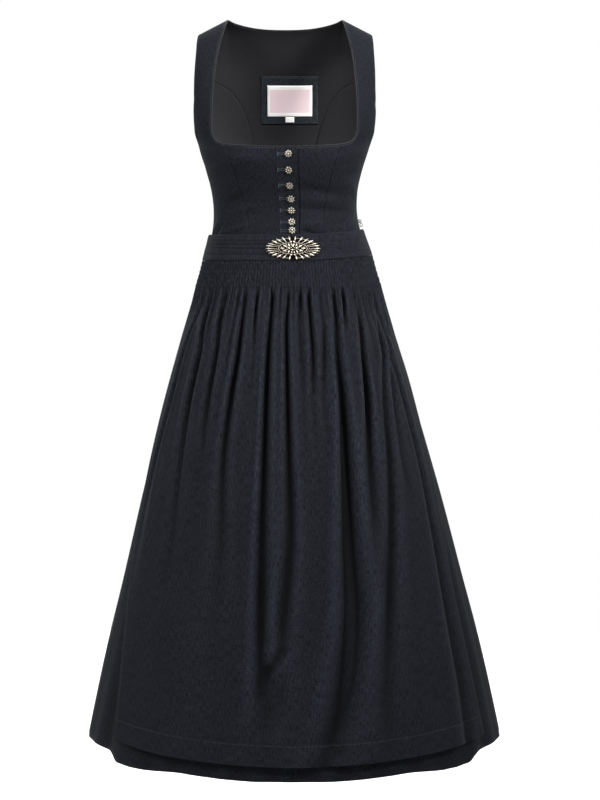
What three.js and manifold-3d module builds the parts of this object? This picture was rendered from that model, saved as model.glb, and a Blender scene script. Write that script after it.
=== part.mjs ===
// A dirndl, the alpine folk dress: a sleeveless bodice with a square neckline and seven filigree
// buttons, a long gathered skirt, an apron with a smocked top, and a belt closed by a metal clasp.
// It keeps the hollow form that it has when it is worn. Millimetres, +Z up, the front faces -Y and
// +X is the wearer's left. The origin is midway between the shoulder straps, which carry the dress.
// Places on the cloth are an angle round the body, 0 at the front and 90 at the wearer's left side,
// and a depth, which is the distance below the shoulders.

import * as THREE from "three";
import Module from "manifold-3d";

const wasm = await Module();
wasm.setup();

// Driving sizes.
const CLOTH = 1.5;
const LINING = 1.0;
const GAP = 0.3;
const NECK_HALF_WIDTH = 103;
const SHOULDER_HALF_WIDTH = 155;
const NECK_RISE = 12.6;
const SHOULDER_SLOPE = 0.51;
const SHOULDER_FADE = 170;
const BACK_NECK_DIP = 18.6;
const NECKLINE_DEPTH = 218;
const NECKLINE_CURVE = 5;
const ARMPIT_DEPTH = 205;
const WAIST_DEPTH = 402;
const HEM_DEPTH = 1289;
const HEM_RISE = 20;
const APRON_HEM_DEPTH = 1263;
const BELT_TOP = 369;
const BELT_BOTTOM = 415;
const BELT_RISE = 10;
const SMOCK_END = 464;
const SMOCK_RIDGES = 88;
const SMOCK_RELIEF = 1.2;
const CLASP_WIDTH = 93;
const CLASP_HEIGHT = 41;
const BUTTON_RADIUS = 6.5;
const DEG = Math.PI / 180;

// Makes rows of named values from a heading and lists of numbers.
function table(names, rows) {
  return rows.map((row) => Object.fromEntries(names.map((name, i) => [name, row[i]])));
}

// The body of the dress: half-widths of its level sections, how square they are (2 is an ellipse),
// and how far each one leans towards the wearer's left.
const FORM = table(["depth", "side", "front", "back", "square", "lean"], [
  [0, 174, 0, 0, 4, -1.5],
  [10, 174, 26, 27, 4, -1.5],
  [40, 173, 47, 52, 3.6, -1.5],
  [100, 171, 73, 80, 3, -2],
  [150, 169, 94, 98, 2.7, -2],
  [185, 162.5, 109, 106, 2.5, -2.5],
  [205, 154.5, 115, 108, 2.4, -3],
  [225, 148.5, 117, 109, 2.4, -3.5],
  [254, 139.5, 113, 105, 2.35, -3.5],
  [283, 132, 105, 99, 2.3, -3],
  [310, 128.6, 98.5, 94, 2.3, -2],
  [333, 128.6, 96, 92, 2.3, -1],
  [355, 131.5, 98, 94, 2.25, 0.5],
  [376, 137, 102, 98, 2.2, 2],
  [405, 146, 107, 106, 2.2, 3.4],
  [437, 154.5, 117, 118, 2.15, 4],
  [473, 166, 128, 133, 2.1, 4.5],
  [545, 188, 147, 158, 2.1, 5.4],
  [689, 231, 178, 195, 2.05, 7.5],
  [833, 270.5, 207, 225, 2, 10],
  [977, 306.5, 235, 251, 2, 12],
  [1121, 343, 266, 272, 2, 13.5],
  [HEM_DEPTH, 380, 300, 293, 2, 14.5],
]);
FORM.forEach((row) => (row.root = Math.sqrt(row.depth)));

// Fullness that the princess seams give the front, at either side of the buttons.
const BUST = { x: 72, depth: 240, reachX: 42, reachDepth: 46, fullness: 7 };

// Deep folds of the apron: their angles at the smocking and at the hem, how deep they are, their
// half-widths at both ends in degrees, and the depth where they have faded out.
const APRON_FOLDS = table(["top", "hem", "deep", "topWidth", "hemWidth", "end"], [
  [-72, -78, 5, 2.2, 3, 860],
  [-60, -73, 7, 2.4, 3.2, 960],
  [-49, -54, 6, 2.2, 3.6, 1040],
  [-36, -41, 5, 2, 3.4, 930],
  [-25, -31, 8, 2, 3.8, 1130],
  [-17, -19, 4, 1.8, 2.6, 760],
  [-9, -9.5, 9, 1.9, 3.2, 1170],
  [-1.5, 0.5, 6, 1.7, 2.6, 1010],
  [7, 7.5, 4, 1.7, 2.4, 780],
  [15, 16, 4, 1.7, 2.4, 700],
  [27, 12, 10, 2.4, 4.4, 1330],
  [35, 32, 4, 1.8, 2.6, 740],
  [44, 29, 8, 2.1, 3.8, 1090],
  [56, 49, 6, 2, 3.2, 950],
  [71, 55, 8, 2.2, 3.2, 1330],
]);
const GATHERS = { count: 40, height: 1.7, end: 620 };

// The apron's side edges, in degrees, from the belt to the hem.
const APRON_EDGES = table(["depth", "right", "left"], [
  [BELT_BOTTOM, -86, 86],
  [560, -84, 82],
  [760, -79, 74],
  [977, -69.5, 65.5],
  [1070, -64, 64],
  [1165, -60, 63.5],
  [APRON_HEM_DEPTH, -57, 63.5],
]);

// Inner and outer edges of the front shoulder strap, from the shoulder down to the bust.
const STRAP = table(["innerX", "innerDepth", "outerX", "outerDepth"], [
  [103, 0, 155, 0],
  [104, 2, 155.3, 2],
  [106.5, 8, 156, 8],
  [110.5, 20, 157, 20],
  [116, 38, 158, 38],
  [121.5, 62, 159.5, 62],
  [125, 90, 160.5, 88],
  [127.5, 120, 161, 115],
  [128.5, 150, 161.5, 140],
  [129, 178, 161.5, 160],
  [127.5, 192, 161, 174],
  [122.5, 203, 159, 185],
  [112, 210, 156, 194],
]);

// The front seam from the corner of the neckline to the waist.
const FRONT_SEAM = table(["depth", "x"], [[213, 101], [236, 92], [275, 80], [320, 70], [360, 66], [402, 68]]);

// The curved back seam from the armhole to the waist, and the armhole beside its upper part.
const BACK_SEAM = table(["depth", "x"], [
  [80, 149], [86, 138], [97, 118], [112, 98], [134, 80], [160, 68], [185, 60],
  [205, 56], [240, 52], [290, 49], [333, 47], [370, 50], [402, 54],
]);
const BACK_ARMHOLE = table(["x", "depth"], [
  [153, 76], [153, 92], [153.5, 110], [154.5, 130], [156, 152], [157.5, 172], [158, 190],
]);
const UPPER_SEAM_DEPTHS = [80, 86, 97, 112, 134, 160, 185];
const LOWER_SHARES = [0, 0.18, 0.36, 0.52, 0.65, 0.77, 0.88, 1];

const mix = (a, b, share) => a + (b - a) * share;
const clamp = (value, low, high) => Math.min(Math.max(value, low), high);
const steps = (count) => Array.from({ length: count + 1 }, (_, i) => i / count);

// 0 below low, 1 above high and a smooth change between them.
function ease(low, high, value) {
  const share = clamp((value - low) / (high - low), 0, 1);
  return share * share * (3 - 2 * share);
}

// The smooth value of a table's column where its key column has a given value.
function valueAt(rows, key, column, value) {
  const last = rows.length - 1;
  const at = clamp(value, rows[0][key], rows[last][key]);
  const i = Math.min(rows.findLastIndex((row) => row[key] <= at), last - 1);
  const slope = (k) => {
    const [before, after] = [rows[Math.max(k - 1, 0)], rows[Math.min(k + 1, last)]];
    return (after[column] - before[column]) / (after[key] - before[key]);
  };
  const [from, to] = [rows[i], rows[i + 1]];
  const length = to[key] - from[key];
  const share = (at - from[key]) / length;
  const [square, cube] = [share ** 2, share ** 3];
  return from[column] * (2 * cube - 3 * square + 1) + to[column] * (3 * square - 2 * cube)
    + slope(i) * length * (cube - 2 * square + share) + slope(i + 1) * length * (cube - square);
}

// A point of the body's surface. The root is the square root of the depth, which keeps the
// shoulders round.
function bodyPoint(angle, root) {
  const at = (column) => valueAt(FORM, "root", column, root);
  const [sin, cos] = [Math.sin(angle * DEG), Math.cos(angle * DEG)];
  const square = at("square");
  const reach = (Math.abs(sin) ** square + Math.abs(cos) ** square) ** (-1 / square);
  const depth = root * root;
  const x = at("side") * reach * sin;
  const y = cos > 0 ? -at("front") * reach * cos : -at("back") * reach * cos;
  const slope = NECK_RISE - SHOULDER_SLOPE * Math.max(0, Math.abs(x) - NECK_HALF_WIDTH);
  const rise = slope * (1 - ease(0, SHOULDER_FADE, depth));
  const across = (Math.abs(x) - BUST.x) / BUST.reachX;
  const down = (depth - BUST.depth) / BUST.reachDepth;
  const full = cos > 0 ? BUST.fullness * Math.exp(-across * across - down * down) : 0;
  return new THREE.Vector3(x + at("lean"), y - full, rise - depth);
}

// A point moved out from the body's surface, square to it.
function onBody(angle, depth, out = 0) {
  const root = Math.sqrt(Math.max(depth, 0));
  const [turn, drop] = [0.05, 0.01];
  const above = Math.max(root - drop, 0);
  const across = bodyPoint(angle + turn, root).sub(bodyPoint(angle - turn, root));
  const down = bodyPoint(angle, above + 2 * drop).sub(bodyPoint(angle, above));
  const normal = down.cross(across).normalize();
  return bodyPoint(angle, root).addScaledVector(normal, out);
}

// The angle of a place that is given by its distance from the middle plane.
function angleAt(x, depth, back = false) {
  const root = Math.sqrt(depth);
  const square = valueAt(FORM, "root", "square", root);
  const side = valueAt(FORM, "root", "side", root);
  const share = Math.min(Math.abs(x) / side, 0.999) ** square;
  const front = Math.atan((share / (1 - share)) ** (1 / square)) / DEG;
  return (x < 0 ? -1 : 1) * (back ? 180 - front : front);
}

// How many degrees round the body make up a length, at a depth.
function degreesFor(length, depth) {
  const reach = onBody(1, depth).distanceTo(onBody(0, depth));
  return length / reach;
}

// 1 in the middle of the apron and 0 at its side edges.
function underApron(angle, depth) {
  const right = valueAt(APRON_EDGES, "depth", "right", depth);
  const left = valueAt(APRON_EDGES, "depth", "left", depth);
  return ease(right, right + 14, angle) * (1 - ease(left - 12, left, angle));
}

// How far the apron's folds and gathers lie from its level surface.
function apronDrape(angle, depth) {
  const fall = clamp((depth - SMOCK_END) / (HEM_DEPTH - SMOCK_END), 0, 1);
  const folds = APRON_FOLDS.map((fold) => {
    const away = angle - mix(fold.top, fold.hem, fall ** 0.8);
    const width = mix(fold.topWidth, fold.hemWidth, fall);
    const grown = ease(SMOCK_END, SMOCK_END + 110, depth) * (1 - ease(fold.end - 180, fold.end, depth));
    return -fold.deep * grown * Math.exp(-((away / width) ** 2));
  });
  const started = ease(SMOCK_END, SMOCK_END + 14, depth) * (1 - ease(SMOCK_END + 30, GATHERS.end, depth));
  const gather = GATHERS.height * started * Math.cos(angle * GATHERS.count / 172 * 2 * Math.PI);
  const sway = 2.5 * ease(760, HEM_DEPTH, depth) * Math.sin(angle * 9 * DEG + 1);
  return underApron(angle, depth) * (folds.reduce((sum, fold) => sum + fold, 0) + sway) + gather;
}

// How far the skirt lies inside the body's surface: under the apron it keeps clear of the apron's
// folds, beside the apron it hangs in shallow folds, and at the back in deep ones.
const SKIRT_FOLDS = { count: 18, deep: 17, beside: 0.4, hidden: 13 };
function skirtDrape(angle, depth) {
  const covered = underApron(angle, depth);
  const fall = ease(BELT_BOTTOM, 760, depth);
  const under = ease(BELT_BOTTOM - 10, 570, depth);
  const wave = angle / 360 * SKIRT_FOLDS.count * 2 * Math.PI + 0.7 * Math.sin(angle * 3 * DEG + 0.6);
  const fold = (0.5 - 0.5 * Math.cos(wave * 2)) ** 0.8;
  const behind = mix(SKIRT_FOLDS.beside, 1, ease(84, 130, Math.abs(angle)));
  const deep = SKIRT_FOLDS.deep * behind * mix(0.09, 1, fall) * (0.85 + 0.15 * Math.sin(angle * 5 * DEG));
  return -mix(deep * fold, SKIRT_FOLDS.hidden * under + 2.2 * fold * fall, covered);
}

// Shapes and materials.
const FINISHES = {
  cloth: { color: 0x1d222b, roughness: 0.88, metalness: 0 },
  apron: { color: 0x20252f, roughness: 0.8, metalness: 0 },
  lining: { color: 0x17181b, roughness: 0.7, metalness: 0 },
  piping: { color: 0x2c2a2e, roughness: 0.7, metalness: 0 },
  label: { color: 0xe6dade, roughness: 0.8, metalness: 0 },
  metal: { color: 0xb9b2a3, roughness: 0.35, metalness: 0.9 },
};
const dress = new THREE.Group();

function addPiece(name, geometry, finish, group = dress) {
  const piece = new THREE.Mesh(geometry, new THREE.MeshStandardMaterial(FINISHES[finish]));
  piece.name = name;
  group.add(piece);
  return piece;
}

function solidGeometry(points, index) {
  const geometry = new THREE.BufferGeometry();
  geometry.setAttribute("position", new THREE.Float32BufferAttribute(points.flatMap((p) => p.toArray()), 3));
  geometry.setIndex(index);
  geometry.computeVertexNormals();
  return geometry;
}

// A closed wall between an outer and an inner skin. Each skin is a list of rows of points, from
// the top down and from the wearer's right to the left. Rows of a skin may differ in length.
function wallGeometry(outerRows, innerRows) {
  const points = [];
  const index = [];
  const number = (rows) => rows.map((row) => row.map((point) => points.push(point) - 1));
  const [outer, inner] = [number(outerRows), number(innerRows)];
  const join = (a, b, turned = false) => {
    let [i, j] = [0, 0];
    const add = (p, q, r) => index.push(p, turned ? r : q, turned ? q : r);
    while (i < a.length - 1 || j < b.length - 1) {
      const alongA = i === a.length - 1 ? Infinity : (i + 1) / (a.length - 1);
      const alongB = j === b.length - 1 ? Infinity : (j + 1) / (b.length - 1);
      if (alongA <= alongB) add(a[i], b[j], a[++i]);
      else add(a[i], b[j], b[++j]);
    }
  };
  outer.slice(1).forEach((row, k) => join(outer[k], row));
  inner.slice(1).forEach((row, k) => join(inner[k], row, true));
  join(inner[0], outer[0]);
  join(outer.at(-1), inner.at(-1));
  join(outer.map((row) => row[0]), inner.map((row) => row[0]));
  join(outer.map((row) => row.at(-1)), inner.map((row) => row.at(-1)), true);
  return solidGeometry(points, index);
}

// A wall over places of the body, moved out by a distance or by a function of the place.
function clothWall(rows, out, thickness = CLOTH) {
  const distance = typeof out === "function" ? out : () => out;
  const skin = (inward) => rows.map((row) =>
    row.map(({ angle, depth }) => onBody(angle, depth, distance(angle, depth) - inward)));
  return wallGeometry(skin(0), skin(thickness));
}

// Places between two edge places, evenly spread or at given shares of the way.
function placesBetween(from, to, columns) {
  const shares = Array.isArray(columns) ? columns : steps(columns);
  return shares.map((share) => ({
    angle: mix(from.angle, to.angle, share),
    depth: mix(from.depth, to.depth, share),
  }));
}

// The same places on the wearer's other side, still in order from right to left.
const mirrored = (rows) => rows.map((row) =>
  row.map(({ angle, depth }) => ({ angle: -angle, depth })).reverse());

// Moves an edge place away from a seam by half its gap.
function besideSeam(place, direction) {
  return { angle: place.angle + direction * degreesFor(GAP / 2, place.depth), depth: place.depth };
}

// The half seam gap that the two halves of a strap keep at the top of the shoulder.
const SHOULDER_SEAM = 0.0004;

// Places of the front strap and side panel on the wearer's left, from the shoulder to the waist.
function sideFrontPlaces() {
  const strap = STRAP.map(({ innerX, innerDepth, outerX, outerDepth }) => {
    const [inner, outer] = [Math.max(innerDepth, SHOULDER_SEAM), Math.max(outerDepth, SHOULDER_SEAM)];
    return placesBetween(
      { angle: angleAt(innerX, inner), depth: inner },
      { angle: angleAt(outerX, outer), depth: outer }, 5);
  });
  const lower = LOWER_SHARES.map((share) => {
    const inner = mix(FRONT_SEAM[0].depth, WAIST_DEPTH, share);
    const seamX = valueAt(FRONT_SEAM, "depth", "x", inner);
    return placesBetween(
      besideSeam({ angle: angleAt(seamX, inner), depth: inner }, 1),
      besideSeam({ angle: 90, depth: mix(ARMPIT_DEPTH, WAIST_DEPTH, share) }, -1), 5);
  });
  return [...strap, ...lower];
}

// The line of the buttons, which lies a little to the wearer's left of the middle. Both fronts go
// past it by the lap, and the right one is lifted before it so that it lies on the left one.
const BUTTON_LINE = table(["depth", "x"], [
  [213, 8.4], [256, 8.9], [283, 10.2], [306, 11.2], [326, 11.2], [347, 10.6], [370, 9.8], [402, 9.4],
]);
const LAP = 12;
const LIFT = { starts: 32, ends: 18 };
const buttonLine = (depth) => valueAt(BUTTON_LINE, "depth", "x", depth);
const necklineDepth = (x) => NECKLINE_DEPTH - NECKLINE_CURVE * (x / FRONT_SEAM[0].x) ** 2;
const overlapOut = (x, depth) => (CLOTH + GAP) * ease(-LIFT.starts, -LIFT.ends, x - buttonLine(depth));

// Places of a front panel between its seam and its edge past the buttons. The side is -1 on the
// wearer's right, whose panel lies on top.
function frontPlaces(side, shares) {
  return LOWER_SHARES.map((share) => {
    const seamDepth = mix(FRONT_SEAM[0].depth, WAIST_DEPTH, share);
    const seamX = side * valueAt(FRONT_SEAM, "depth", "x", seamDepth);
    const edgeX = (depth) => buttonLine(depth) - side * LAP;
    const places = shares.map((part) => {
      if (part === 0) return besideSeam({ angle: angleAt(seamX, seamDepth), depth: seamDepth }, -side);
      const guess = mix(seamX, edgeX(seamDepth), part);
      const depth = mix(necklineDepth(guess), WAIST_DEPTH, share);
      const seam = side * valueAt(FRONT_SEAM, "depth", "x", depth);
      return { angle: angleAt(mix(seam, edgeX(depth), part), depth), depth };
    });
    return side < 0 ? places : places.reverse();
  });
}

// Places of the back panel between the curved seams, from the shoulders to the waist.
const BACK_COLUMNS = [-1, -0.83, -0.665, -0.6, -0.47, -0.25, 0, 0.25, 0.47, 0.6, 0.665, 0.83, 1];
function backNeckDepth(x) {
  return Math.max(BACK_NECK_DIP * (1 - (x / NECK_HALF_WIDTH) ** 2), SHOULDER_SEAM);
}
function backPlaces() {
  const first = UPPER_SEAM_DEPTHS[0];
  const shoulder = [0, 0.04, 0.16, 0.36, 0.64].map((share) => {
    const edge = mix(SHOULDER_HALF_WIDTH, BACK_ARMHOLE[0].x, share);
    return BACK_COLUMNS.map((column) => {
      const depth = mix(backNeckDepth(edge * column), first, share);
      return { angle: angleAt(edge * column, depth, true), depth };
    });
  });
  const lowerDepths = LOWER_SHARES.map((share) => mix(ARMPIT_DEPTH, WAIST_DEPTH, share));
  const seamed = [...UPPER_SEAM_DEPTHS, ...lowerDepths].map((depth) => {
    const seam = valueAt(BACK_SEAM, "depth", "x", depth);
    const edge = besideSeam({ angle: angleAt(seam, depth, true), depth }, 1).angle;
    const x = seam * (180 - edge) / (180 - angleAt(seam, depth, true));
    return BACK_COLUMNS.map((column) => ({ angle: angleAt(x * column, depth, true), depth }));
  });
  return [...shoulder, ...seamed].map((row) =>
    row.map(({ angle, depth }) => ({ angle: angle <= 0 ? angle + 360 : angle, depth })).reverse());
}

// Places of the side back panel on the wearer's left, from the armhole to the waist. The column
// after its front edge is where the lining begins beside the zip.
const SIDE_BACK_COLUMNS = [0, 0.06, 0.3, 0.54, 0.77, 1];
function sideBackPlaces() {
  const upper = UPPER_SEAM_DEPTHS.map((depth, i) => {
    const hole = BACK_ARMHOLE[i];
    const seam = valueAt(BACK_SEAM, "depth", "x", depth);
    return placesBetween(
      { angle: angleAt(hole.x, hole.depth, true), depth: hole.depth },
      besideSeam({ angle: angleAt(seam, depth, true), depth }, -1), SIDE_BACK_COLUMNS);
  });
  const lower = LOWER_SHARES.map((share) => {
    const depth = mix(ARMPIT_DEPTH, WAIST_DEPTH, share);
    const seam = valueAt(BACK_SEAM, "depth", "x", depth);
    return placesBetween(
      besideSeam({ angle: 90, depth }, 1),
      besideSeam({ angle: angleAt(seam, depth, true), depth }, -1), SIDE_BACK_COLUMNS);
  });
  return [...upper, ...lower];
}

// Bodice.
const overlapShares = [0, 0.25, 0.5, 0.64, 0.7, 0.76, 0.88, 1];
const underlapShares = [0, 0.25, 0.5, 0.75, 1];
addPiece("bodice_front_right", clothWall(frontPlaces(-1, overlapShares),
  (angle, depth) => overlapOut(bodyPoint(angle, Math.sqrt(depth)).x, depth)), "cloth");
addPiece("bodice_front_left", clothWall(frontPlaces(1, underlapShares), 0), "cloth");
addPiece("bodice_side_front_left", clothWall(sideFrontPlaces(), 0), "cloth");
addPiece("bodice_side_front_right", clothWall(mirrored(sideFrontPlaces()), 0), "cloth");
addPiece("bodice_back", clothWall(backPlaces(), 0), "cloth");
addPiece("bodice_side_back_left", clothWall(sideBackPlaces(), 0), "cloth");
addPiece("bodice_side_back_right", clothWall(mirrored(sideBackPlaces()), 0), "cloth");

// Back lining, which shows through the neckline. It stops short of the zip in the left side seam.
const LINING_OUT = -CLOTH - GAP;
const sideLining = sideBackPlaces().map((row) => row.slice(1));
addPiece("lining_back", clothWall(backPlaces(), LINING_OUT, LINING), "lining");
addPiece("lining_side_back_left", clothWall(sideLining, LINING_OUT, LINING), "lining");
addPiece("lining_side_back_right", clothWall(mirrored(sideBackPlaces()), LINING_OUT, LINING), "lining");

// A flat piece sewn inside the back, given by its middle and its size.
function insideBack(middleX, depth, width, height, out, thickness) {
  const columns = steps(4).map((share) => middleX + width * (0.5 - share));
  return clothWall(steps(Math.ceil(height / 20)).map((share) => columns.map((x) => {
    const at = depth + height * (share - 0.5);
    const angle = angleAt(x, at, true);
    return { angle: angle <= 0 ? angle + 360 : angle, depth: at };
  })), out, thickness);
}
const PATCH = { x: 8, depth: 125, width: 105, height: 80 };
const LABEL = { x: 8.5, depth: 125.2, width: 82, height: 51 };
const SIZE_TAB = { x: 8.5, depth: 155.8, width: 16, height: 9.4 };
const PATCH_OUT = LINING_OUT - LINING - GAP;
const LABEL_OUT = PATCH_OUT - LINING - 2 * GAP;
addPiece("label_patch", insideBack(PATCH.x, PATCH.depth, PATCH.width, PATCH.height, PATCH_OUT, LINING), "cloth");
addPiece("label", insideBack(LABEL.x, LABEL.depth, LABEL.width, LABEL.height, LABEL_OUT, LINING), "label");
addPiece("size_tab",
  insideBack(SIZE_TAB.x, SIZE_TAB.depth, SIZE_TAB.width, SIZE_TAB.height, LABEL_OUT, LINING), "label");

// Piping round the neckline, from the upper front edge round the back to the lower one.
const PIPING_RADIUS = 1.3;
const PIPING_OFF_EDGE = PIPING_RADIUS + 0.9;
function necklinePath() {
  const front = (x) => ({ angle: angleAt(x, necklineDepth(x)), depth: necklineDepth(x) });
  const strap = (side) => STRAP.toReversed().map(({ innerX, innerDepth }) => {
    const depth = Math.max(innerDepth, SHOULDER_SEAM);
    return { angle: side * angleAt(innerX, depth), depth };
  });
  const back = (side) => [93, 83, 72.8, 56, 38.7, 20].map((x) => {
    const depth = backNeckDepth(x);
    return { angle: side * angleAt(x, depth, true), depth };
  });
  const edge = buttonLine(NECKLINE_DEPTH) + LAP;
  const left = [...[edge + GAP, 45, 72, 98].map(front), ...strap(1), ...back(1)];
  const right = [...[edge - GAP, -20, -60, -98].map(front), ...strap(-1), ...back(-1)];
  const middle = { angle: 180, depth: BACK_NECK_DIP };
  return [...left, middle, ...right.toReversed()];
}
function pipingGeometry() {
  const path = necklinePath();
  const points = path.map(({ angle, depth }) => onBody(angle, depth, -CLOTH / 2));
  const moved = points.map((point, i) => {
    const { angle, depth } = path[i];
    const normal = onBody(angle, depth, 1).sub(onBody(angle, depth, 0));
    const forward = points[Math.min(i + 1, points.length - 1)].clone().sub(points[Math.max(i - 1, 0)]);
    return point.clone().addScaledVector(normal.cross(forward).normalize(), PIPING_OFF_EDGE);
  });
  const section = new THREE.Shape(steps(5).slice(1).map((share) => new THREE.Vector2(
    PIPING_RADIUS * Math.cos(share * 360 * DEG), PIPING_RADIUS * Math.sin(share * 360 * DEG))));
  return new THREE.ExtrudeGeometry(section, {
    steps: 56, bevelEnabled: false, extrudePath: new THREE.CatmullRomCurve3(moved),
  });
}
addPiece("neck_piping", pipingGeometry(), "piping");

// Places of a skirt or apron panel between two edges that are functions of the depth.
function hangingPlaces(depths, fromAngle, toAngle, count) {
  return depths.map((depth) => {
    const rise = HEM_RISE * ease(BELT_BOTTOM, HEM_DEPTH, depth);
    return placesBetween({ angle: fromAngle(depth), depth }, { angle: toAngle(depth), depth }, count)
      .map((place) => ({ angle: place.angle, depth: depth - rise * Math.sin(place.angle * DEG) ** 2 }));
  });
}

// Skirt, in four panels with seams at the sides and at the middle of the front and back.
const SKIRT_DEPTHS = [WAIST_DEPTH + GAP, 445, 505, 590, 700, 830, 980, 1130, HEM_DEPTH];
const SKIRT_PANELS = table(["name", "from", "to", "columns"], [
  ["skirt_front_right", -90, 0, 12],
  ["skirt_front_left", 0, 90, 12],
  ["skirt_back_left", 90, 180, 32],
  ["skirt_back_right", 180, 270, 32],
]);
SKIRT_PANELS.forEach(({ name, from, to, columns }) => {
  const edge = (angle, direction) => (depth) => besideSeam({ angle, depth }, direction).angle;
  const places = hangingPlaces(SKIRT_DEPTHS, edge(from, 1), edge(to, -1), columns);
  const wave = (angle) => (angle > 180 ? angle - 360 : angle);
  addPiece(name, clothWall(places, (angle, depth) => skirtDrape(wave(angle), depth)), "cloth");
});

// The belt rises a little on the wearer's left, and the top of the apron follows it.
const beltRise = (angle) => (Math.sin(angle * DEG) > 0 ? BELT_RISE * Math.sin(angle * DEG) ** 2 : 0);

// Apron: one panel whose top is drawn in by smocking, raised as fine ridges over a plain inside.
const APRON_OUT = 3.7;
const SMOCK_DEPTHS = [BELT_BOTTOM + 0.6, 443, SMOCK_END];
const APRON_DEPTHS = [476, 500, 540, 600, 680, 780, 900, 1030, 1150, APRON_HEM_DEPTH];
const APRON_COLUMNS = 84;
function apronGeometry() {
  const edge = (column) => (depth) => valueAt(APRON_EDGES, "depth", column, depth);
  const raised = (rows) => rows.map((row) => row.map(({ angle, depth }) => {
    const share = clamp((SMOCK_END - depth) / (SMOCK_END - SMOCK_DEPTHS[0]), 0, 1);
    return { angle, depth: depth - share * beltRise(angle) };
  }));
  const panel = (depths, columns) => raised(hangingPlaces(depths, edge("right"), edge("left"), columns));
  const smocked = panel(SMOCK_DEPTHS, 2 * SMOCK_RIDGES);
  const hanging = panel(APRON_DEPTHS, APRON_COLUMNS);
  const inside = panel([SMOCK_DEPTHS[0], SMOCK_END, ...APRON_DEPTHS], APRON_COLUMNS);
  const ridges = smocked.map((row) => row.map(({ angle, depth }, i) =>
    onBody(angle, depth, APRON_OUT + (i % 2 ? SMOCK_RELIEF : 0))));
  const folds = hanging.map((row) => row.map(({ angle, depth }) =>
    onBody(angle, depth, APRON_OUT + apronDrape(angle, depth))));
  const inner = inside.map((row) => row.map(({ angle, depth }) => {
    const drape = depth > SMOCK_END ? apronDrape(angle, depth) : 0;
    return onBody(angle, depth, APRON_OUT + drape - CLOTH);
  }));
  return wallGeometry([...ridges, ...folds], inner);
}
addPiece("apron", apronGeometry(), "apron");

// Apron band and the two halves of the belt over it, which closes in to the skirt past the apron.
const BAND_OUT = 3.7;
const BELT_OUT = BAND_OUT + 2 * GAP + CLOTH;
const BELT_BACK_OUT = 2 * GAP + CLOTH;
const BELT_CLOSES = { from: 92, to: 112 };
const BAND_EDGE = 86;
const CLASP_X = 9.3;
const CLASP_DEPTH = 394;
function bandRows(top, bottom, from, to, columns, rowCount) {
  return steps(rowCount).map((share) => steps(columns).map((part) => {
    const angle = mix(from, to, part);
    return { angle, depth: mix(top, bottom, share) - beltRise(angle) };
  }));
}
function beltOut(angle) {
  const fromFront = Math.min(Math.abs(angle), 360 - Math.abs(angle));
  return mix(BELT_OUT, BELT_BACK_OUT, ease(BELT_CLOSES.from, BELT_CLOSES.to, fromFront));
}
const claspAngle = angleAt(CLASP_X, CLASP_DEPTH);
addPiece("apron_band",
  clothWall(bandRows(BELT_TOP + 2, BELT_BOTTOM - 0.2, -BAND_EDGE, BAND_EDGE, 36, 2), BAND_OUT), "apron");
addPiece("belt_left",
  clothWall(bandRows(BELT_TOP, BELT_BOTTOM, claspAngle + 0.2, 179.9, 36, 3), beltOut), "apron");
addPiece("belt_right",
  clothWall(bandRows(BELT_TOP, BELT_BOTTOM, -179.9, claspAngle - 0.2, 38, 3), beltOut), "apron");

// Joins closed shapes into one solid.
function joined(geometries) {
  const solids = geometries.map((geometry) => {
    const flat = geometry.index ? geometry.toNonIndexed() : geometry;
    const position = flat.getAttribute("position");
    const points = [];
    const seen = new Map();
    const index = Array.from({ length: position.count }, (_, i) => {
      const point = new THREE.Vector3().fromBufferAttribute(position, i);
      const key = point.toArray().map((value) => Math.round(value * 10000)).join();
      if (!seen.has(key)) seen.set(key, points.push(point) - 1);
      return seen.get(key);
    });
    const corners = Array.from({ length: index.length / 3 }, (_, i) => index.slice(3 * i, 3 * i + 3));
    const triVerts = corners.filter(([a, b, c]) => a !== b && b !== c && a !== c).flat();
    return new wasm.Manifold(new wasm.Mesh({
      numProp: 3,
      vertProperties: new Float32Array(points.flatMap((point) => point.toArray())),
      triVerts: new Uint32Array(triVerts),
    }));
  });
  const mesh = solids.reduce((sum, solid) => sum.add(solid)).getMesh();
  const vertices = Array.from({ length: mesh.numVert }, (_, i) =>
    new THREE.Vector3(...mesh.vertProperties.subarray(i * mesh.numProp, i * mesh.numProp + 3)));
  return solidGeometry(vertices, Array.from(mesh.triVerts));
}

// Lays a shape on the body: its X runs round the body, its Z up and its -Y straight out.
function laidOnBody(geometry, x, depth, out) {
  const laid = geometry.clone();
  const position = laid.getAttribute("position");
  const point = new THREE.Vector3();
  for (let i = 0; i < position.count; i++) {
    point.fromBufferAttribute(position, i);
    const at = depth - point.z;
    position.setXYZ(i, ...onBody(angleAt(x + point.x, at), at, out - point.y).toArray());
  }
  laid.computeVertexNormals();
  return laid;
}

// Filigree buttons: a domed rosette on a short shank. They face -Y.
function buttonGeometry() {
  const profile = [[0, 0], [1.6, 0], [1.6, 1.2], [BUTTON_RADIUS, 2.2], [5.2, 4.2], [2.8, 5.6], [0, 6]];
  const dome = new THREE.LatheGeometry(profile.map(([x, y]) => new THREE.Vector2(x, y)), 12);
  return dome.rotateX(180 * DEG);
}
const buttonShape = buttonGeometry();

// Where each button sits: its depth, and how far its shank's foot is from the body's surface.
const BUTTONS = table(["depth", "seat"], [
  [229, -0.6], [256, 0.2], [282.5, 0.9], [305.5, 0.9], [326, 0.9], [347, 0.9], [361.8, 0.9],
]);
BUTTONS.forEach(({ depth, seat }, i) => {
  const x = buttonLine(depth);
  const out = overlapOut(x, depth) + seat;
  addPiece(`button_${i + 1}`, laidOnBody(buttonShape, x, depth, out), "metal");
});

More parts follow.
